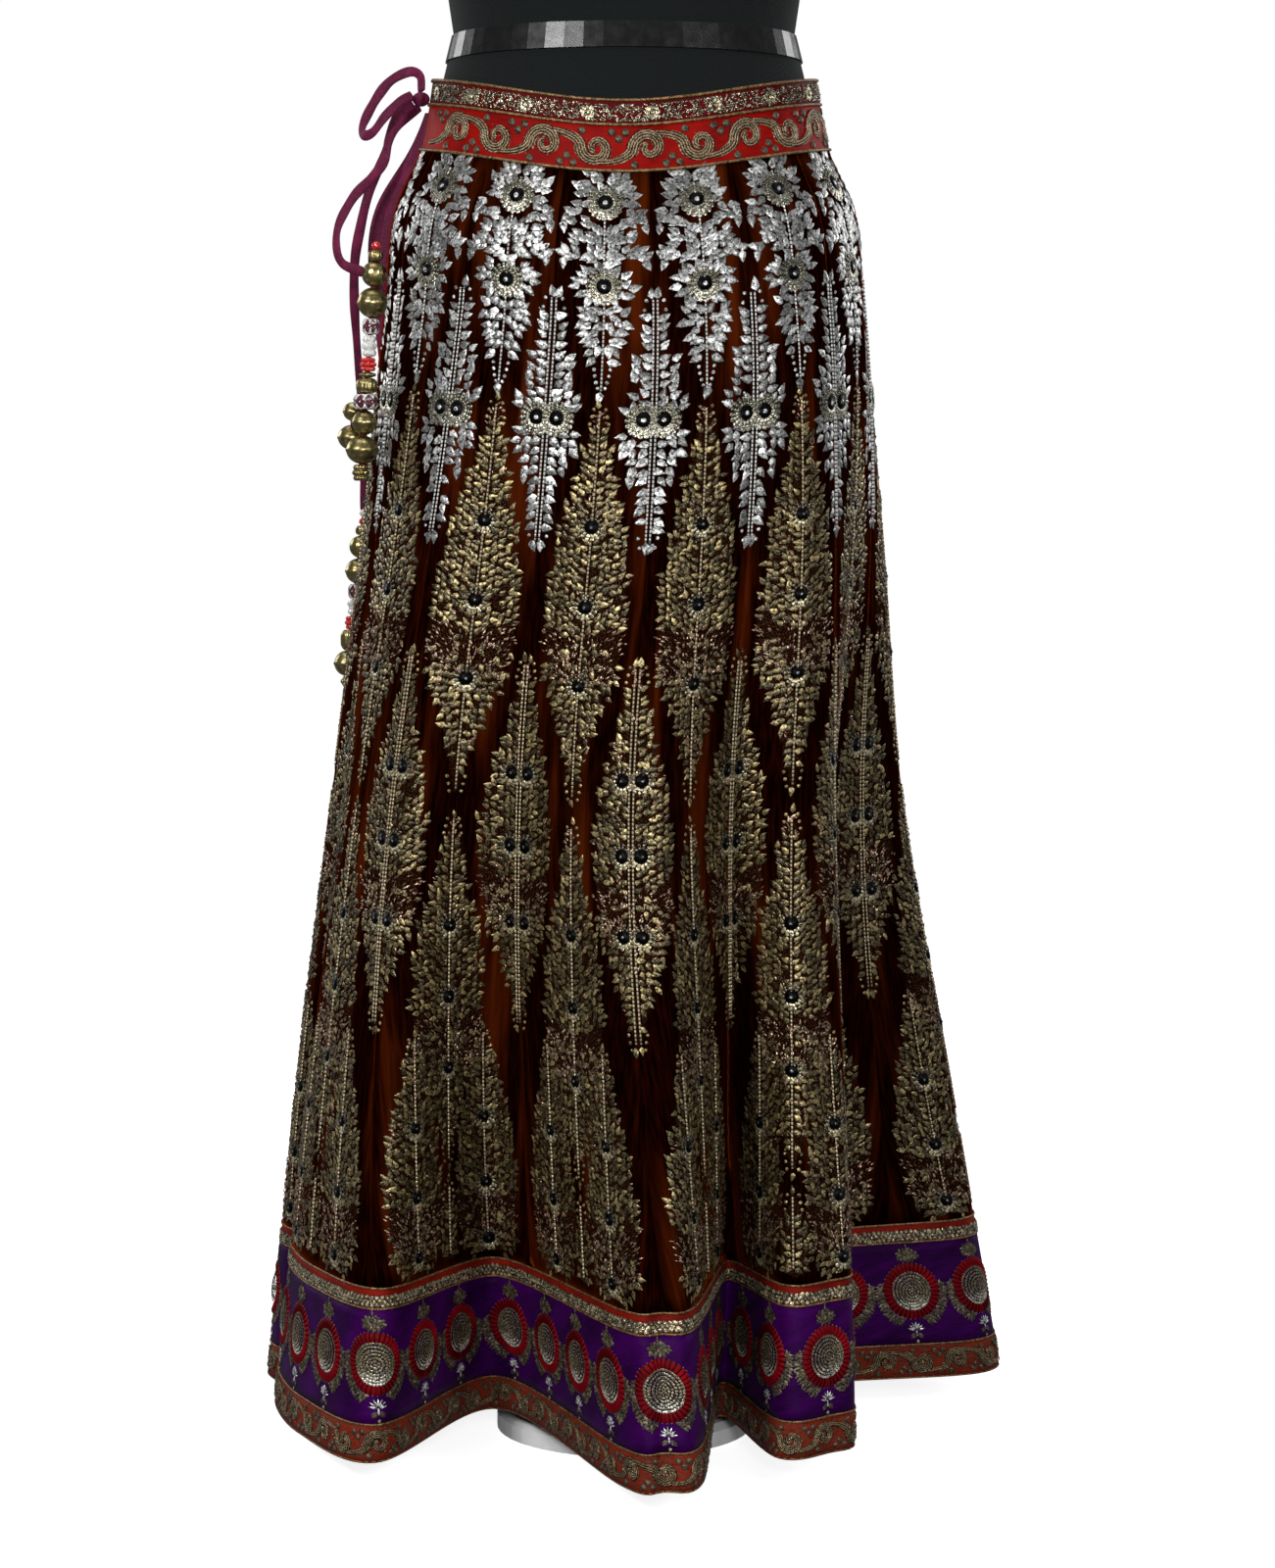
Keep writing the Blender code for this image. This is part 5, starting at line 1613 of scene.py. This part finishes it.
def cluster_grid(centre, radius, height, rings, around, bead):
    """A cluster of seed beads: small balls in rings that cover a drum."""
    turn = np.linspace(0, 2 * np.pi, 7, endpoint=False)[None, :]
    tilt = np.linspace(-1.25, 1.25, 5)[:, None]
    ball = [np.cos(tilt) * np.sin(turn), -np.cos(tilt) * np.cos(turn), np.sin(tilt) + 0 * turn]
    unit = np.stack(ball, axis=-1)
    grids = []
    for ring in range(rings):
        z = centre[2] + height * ((ring + 0.5) / rings - 0.5)
        reach = (radius - bead) * math.sqrt(max(0.25, 1 - ((ring + 0.5) / rings * 2 - 1) ** 2 * 0.7))
        for step in range(around):
            angle = 2 * math.pi * (step + 0.5 * (ring % 2)) / around
            place = np.array([centre[0] + reach * math.sin(angle), centre[1] - reach * math.cos(angle), z])
            grids.append(place + bead * unit)
    return grids


def add_cluster(name, grids, material, node):
    """Join a core and its seed beads into one piece, with a cap at both ends of each."""
    points, quads, caps, start = [], [], [], 0
    for grid in grids:
        rows, sides = grid.shape[:2]
        points.append(grid.reshape(-1, 3))
        quads.append(tube_faces(rows, sides, start))
        caps.append((rows, sides, start))
        start += rows * sides
    blocks = [np.concatenate(quads)]
    for sides in sorted({sides for _, sides, _ in caps}):
        alike = [(rows, first) for rows, count, first in caps if count == sides]
        closing = [cap_faces(sides, first, True) for rows, first in alike]
        closing += [cap_faces(sides, first + (rows - 1) * sides, False) for rows, first in alike]
        blocks.append(np.concatenate(closing))
    return add_piece(name, np.concatenate(points), blocks, material, None, (node,))


# Name, radius, height and kind, top to bottom
FRONT_TASSEL = [
    ("red_bead", 0.0033, 0.0060, "glass"), ("ribbed_barrel", 0.0052, 0.0072, "barrel"),
    ("brass_ball", 0.0090, 0.0180, "engraved"), ("seamed_ball", 0.0111, 0.0212, "seamed"),
    ("petal_bead", 0.0063, 0.0112, "petal"), ("white_cluster", 0.0056, 0.0156, "white"),
    ("red_cluster", 0.0061, 0.0096, "red"), ("stone_ring", 0.0062, 0.0042, "stones"),
    ("long_barrel", 0.0074, 0.0106, "barrel"), ("crown_bead", 0.0092, 0.0110, "petal"),
    ("small_bell", 0.0092, 0.0176, "seamed"), ("large_bell", 0.0122, 0.0200, "seamed"),
    ("gold_cluster", 0.0064, 0.0116, "gold"),
]
BACK_TASSEL = [
    ("white_bead", 0.0040, 0.0060, "white"), ("red_bead", 0.0036, 0.0056, "glass"),
    ("ribbed_barrel", 0.0052, 0.0070, "barrel"), ("brass_ball", 0.0085, 0.0166, "engraved"),
    ("seamed_ball", 0.0098, 0.0186, "seamed"), ("petal_bead", 0.0060, 0.0110, "petal"),
    ("white_cluster", 0.0054, 0.0120, "white"), ("red_cluster", 0.0058, 0.0100, "red"),
    ("long_barrel", 0.0070, 0.0150, "barrel"), ("large_bell", 0.0105, 0.0190, "seamed"),
    ("gold_bead", 0.0040, 0.0072, "gold"),
]
BEAD_GAP = 0.0003

# Turned beads: material, slot, share of the radius, profile, ribs, their depth, and the seam's height
TURNED = {
    "glass": (RED_GLASS, "red_glass", 1.0, "ball", 6, 0.05, 0.0),
    "barrel": (BRASS, "antique_brass", 0.96, "drum", 12, 0.07, 0.0),
    "engraved": (BRASS, "antique_brass", 0.97, "ball", 16, 0.025, 0.0),
    "seamed": (BRASS, "antique_brass", 0.94, "ball", 0, 0.0, 0.0007),
}

# Clusters of seed beads: material, slot and each bead's radius
SEEDED = {
    "white": (WHITE_BEAD, "white_bead", 0.0024),
    "red": (RED_GLASS, "red_glass", 0.0017),
    "stones": (BRASS, "antique_brass", 0.0013),
    "gold": (BRASS, "antique_brass", 0.0021),
}


def make_bead(node, centre, radius, height, kind):
    """Make one bead of a tassel by its kind, as a list of its pieces."""
    name = f"{node}_finish"
    if kind in TURNED:
        material, slot, share, *profile = TURNED[kind]
        grid = bead_grid(centre, radius * share, height, *profile)
        return [add_bead(name, grid, material, node)]
    if kind == "petal":
        core = bead_grid(centre, radius * 0.90, height, "drum", 8, 0.03)
        petals = [petal_collar(centre, radius * 0.92, height, end) for end in (-1, 1)]
        extra = join_tubes(f"{node}_petals", petals, WHITE_BEAD)
        return [add_bead(name, core, MAROON_BEAD, node), extra]
    material, slot, bead = SEEDED[kind]
    rings = max(1, int(height / (1.75 * bead)))
    around = max(5, int(5.4 * (radius - bead) / bead))
    core = bead_grid(centre, radius * 0.70, height * 0.96, "drum", sides=16)
    grids = cluster_grid(centre, radius * 0.99, height * 0.95, rings, around, bead)
    return [add_cluster(name, [core, *grids], material, node)]


def add_tassel(prefix, top, lean, beads):
    """Stack the beads down from the top, leaning off the cloth as the solids do."""
    made = []
    z = top[2]
    for name, radius, height, kind in beads:
        z -= height / 2
        centre = (top[0] - lean * (top[2] - z), top[1], z)
        made += make_bead(f"{prefix}_{name}", centre, radius, height, kind)
        z -= height / 2 + BEAD_GAP
    return made


# A second strand behind the front tassel's foot: each bell's centre, radius and height
TWIN_BELLS = [((-0.1920, -0.0500, 0.7424), 0.0068, 0.0132), ((-0.1934, -0.0435, 0.7243), 0.0098, 0.0176)]
TWIN_START = (-0.1822, -0.0620, 0.7440)


def add_twins():
    """The smaller pair of bells that hangs behind the front tassel's own, on a thread of its own."""
    balls = [bead_grid(centre, radius, height, "ball", 0, 0.0, 0.0006)[::-1]
             for centre, radius, height in TWIN_BELLS]
    bells = join_tubes("tassel_front_twin_bells", balls, BRASS)
    route = smooth_route([TWIN_START, *[centre for centre, radius, height in TWIN_BELLS]], 24)
    thread = tube_grid(route, 0.0008, 0.0008, 6, np.tile([0.0, -1.0, 0.0], (len(route), 1)))
    return [bells, join_tubes("tassel_front_twin_thread", [thread], WINE)]


front_beads = add_tassel("tassel_front", FRONT_TASSEL_TOP, FRONT_TASSEL_LEAN, FRONT_TASSEL)
back_beads = add_tassel("tassel_back", BACK_TASSEL_TOP, BACK_TASSEL_LEAN, BACK_TASSEL)
front_beads += add_twins()

KNOT_CENTRE = (-0.1443, -0.020, 0.9640)
knot_grid = bead_grid(KNOT_CENTRE, 0.0060, 0.0102, "ball", 5, 0.09)
knot_piece = add_bead("tie_knot_velvet", knot_grid, WINE, "tie_knot")

# %% [markdown]
# The dress form wears a ribbed knit cover, seamed up each side, and a glossy tape at the waist. The torso
# is drawn again from the solid's own sections with many more rings, so that its shoulders are round.
# The tape, cap, pole and base already have their true shape, so they only get finishes.

# %% The dress form
SEAT_GAP = 0.0006
UPPER_SEAT_GAP = 0.0035
BAND_INSIDE = 0.0018
FORM_SLICES = 96
FORM_TURN = np.linspace(0, 2 * np.pi, FORM_SLICES, endpoint=False)

# The side seam's half breadth, where it is dark and where it has faded out
SIDE_SEAM = (0.0021, 0.0063)

# Height, half width, half depth and forward lean of each section
FORM_SECTIONS = np.array([
    (0.700, 0.120, 0.095, 0.000), (0.706, 0.140, 0.112, 0.000), (0.760, 0.158, 0.126, 0.000),
    (0.840, 0.158, 0.125, 0.000), (1.010, 0.1218, 0.0900, 0.000), (1.060, 0.1290, 0.0950, 0.004),
    (1.130, 0.1440, 0.1060, 0.010), (1.210, 0.1560, 0.1200, 0.018), (1.290, 0.1640, 0.1080, 0.008),
    (1.345, 0.1680, 0.0900, -0.004), (1.378, 0.1480, 0.0780, -0.012), (1.400, 0.0980, 0.0660, -0.016),
    (1.418, 0.0600, 0.0560, -0.018), (1.462, 0.0540, 0.0530, -0.016),
])


def form_ring(height):
    """One level ellipse of the torso."""
    width, depth, forward = (smooth_column(column, height, FORM_SECTIONS) for column in (1, 2, 3))
    ring = [width * np.sin(FORM_TURN), -depth * np.cos(FORM_TURN) - forward, np.full(FORM_SLICES, height)]
    return np.stack(ring, axis=-1)


def form_seat(fraction, clearance):
    """A ring inside the waistband's wall, tilted as the waistband is."""
    width, depth = (smooth_column(column, fraction) for column in (1, 2))
    plan = np.stack([width * np.sin(FORM_TURN), -depth * np.cos(FORM_TURN)], axis=-1)
    lift = ((1 - plan[:, 1] / np.linalg.norm(plan, axis=1)) / 2) ** 3
    height = WAIST_TOP_BACK_Z - BAND_HEIGHT - WAIST_FRONT_DIP * lift - fraction * CLOTH_HEIGHT
    inward = BAND_INSIDE + clearance
    ring = [(width - inward) * np.sin(FORM_TURN), -(depth - inward) * np.cos(FORM_TURN), height]
    return np.stack(ring, axis=-1)


def add_torso(material):
    """A loft through the rings, closed by a fan at its foot and at its neck."""
    rings = [form_ring(height) for height in (0.700, 0.706, 0.760, 0.840)]
    rings += [form_seat(0.002, SEAT_GAP), form_seat(-0.030, UPPER_SEAT_GAP), form_ring(1.010)]
    rings += [form_ring(height) for height in np.linspace(1.060, 1.462, 46)]
    rings = np.array(rings)
    rows = len(rings)
    index, quads = grid_quads(rows, FORM_SLICES)
    foot, top = rows * FORM_SLICES, rows * FORM_SLICES + 1
    low = np.stack([np.full(FORM_SLICES, foot), index[0, 1:], index[0, :-1]], axis=-1)
    high = np.stack([np.full(FORM_SLICES, top), index[-1, :-1], index[-1, 1:]], axis=-1)
    middles = [rings[0].mean(axis=0), rings[-1].mean(axis=0)]
    points = np.concatenate([rings.reshape(-1, 3), middles])
    add_piece("form_torso_cover", points, [quads, low, high], material, None, ("form_torso",))
    print("form_torso_cover", rows, "rings")


def knit_material():
    desk = Desk("form_knit", roughness=0.9, Sheen_Weight=0.06, Sheen_Roughness=0.5, Specular_IOR_Level=0.2)
    depth, rows = desk.parts(desk.place())[1:]
    seam = depth.size().ramp(*SIDE_SEAM)
    ribs = (rows * 5200.0).sine()
    fuzz = desk.noise(700.0, 3.0)
    # The ribs are painted lighter on their crests and darker in their grooves, as painted shade, with random
    # fuzz.
    wear_and_painted_light = ribs.ramp(-0.4, 1.0) * 0.7 + fuzz * 0.3
    cover = desk.blend(wear_and_painted_light, (0.0025, 0.0034, 0.0036), (0.0085, 0.0115, 0.0118))
    desk.colour(desk.blend(seam, (0.0006, 0.0008, 0.0008), cover))
    desk.bump(ribs * 0.5 + fuzz * 0.6 + seam * 2.0, 0.5, 0.0006)
    return desk.material


def gloss_material(name, colour, roughness, metallic=0.0, grain=120.0):
    desk = Desk(name, roughness=roughness, metallic=metallic)
    marks = desk.noise(grain, 4.0)
    lighter = tuple(min(1.0, c * 1.6 + 0.003) for c in colour)
    desk.colour(desk.blend(marks.ramp(0.4, 0.75) * 0.5, colour, lighter))
    desk.rough(marks * 0.2 + (roughness - 0.08))
    desk.bump(marks, 0.15, 0.0004)
    return desk.material


def refinish(node, material):
    """Give a carried-over solid its finish by filling its material slots."""
    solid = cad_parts[node]
    if not solid.data.materials:
        solid.data.materials.append(material)
    for place in range(len(solid.data.materials)):
        solid.data.materials[place] = material


add_torso(knit_material())
refinish("form_waist_tape", gloss_material("form_tape", (0.004, 0.004, 0.004), 0.22))
ENAMEL = gloss_material("form_enamel", (0.90, 0.90, 0.885), 0.35)
refinish("form_neck_cap", ENAMEL)
refinish("form_base", ENAMEL)
refinish("form_pole", gloss_material("form_steel", (0.5, 0.5, 0.51), 0.3, 1.0))

# %% [markdown]
# A pale floor, which is seen but doesn't light the cloth from below, as the photograph is a
# cut-out.

# %% Floor and last lines


def add_floor():
    desk = Desk("studio_floor", roughness=0.9)
    mottle = desk.noise(6.0, 2.0)
    desk.colour(desk.blend(mottle, (0.86, 0.86, 0.86), (0.90, 0.90, 0.90)))
    desk.feed(desk.shader.inputs["Emission Color"], (1.0, 1.0, 1.0))
    desk.shader.inputs["Emission Strength"].default_value = 0.86
    mesh = bpy.data.meshes.new("floor")
    reach = 9.0
    corners = [(-reach, -reach, 0), (reach, -reach, 0), (reach, reach, 0), (-reach, reach, 0)]
    mesh.from_pydata(corners, [], [(0, 1, 2, 3)])
    mesh.materials.append(desk.material)
    floor = bpy.data.objects.new("floor", mesh)
    bpy.context.scene.collection.objects.link(floor)
    floor.visible_diffuse = False
    floor.visible_glossy = False


add_floor()
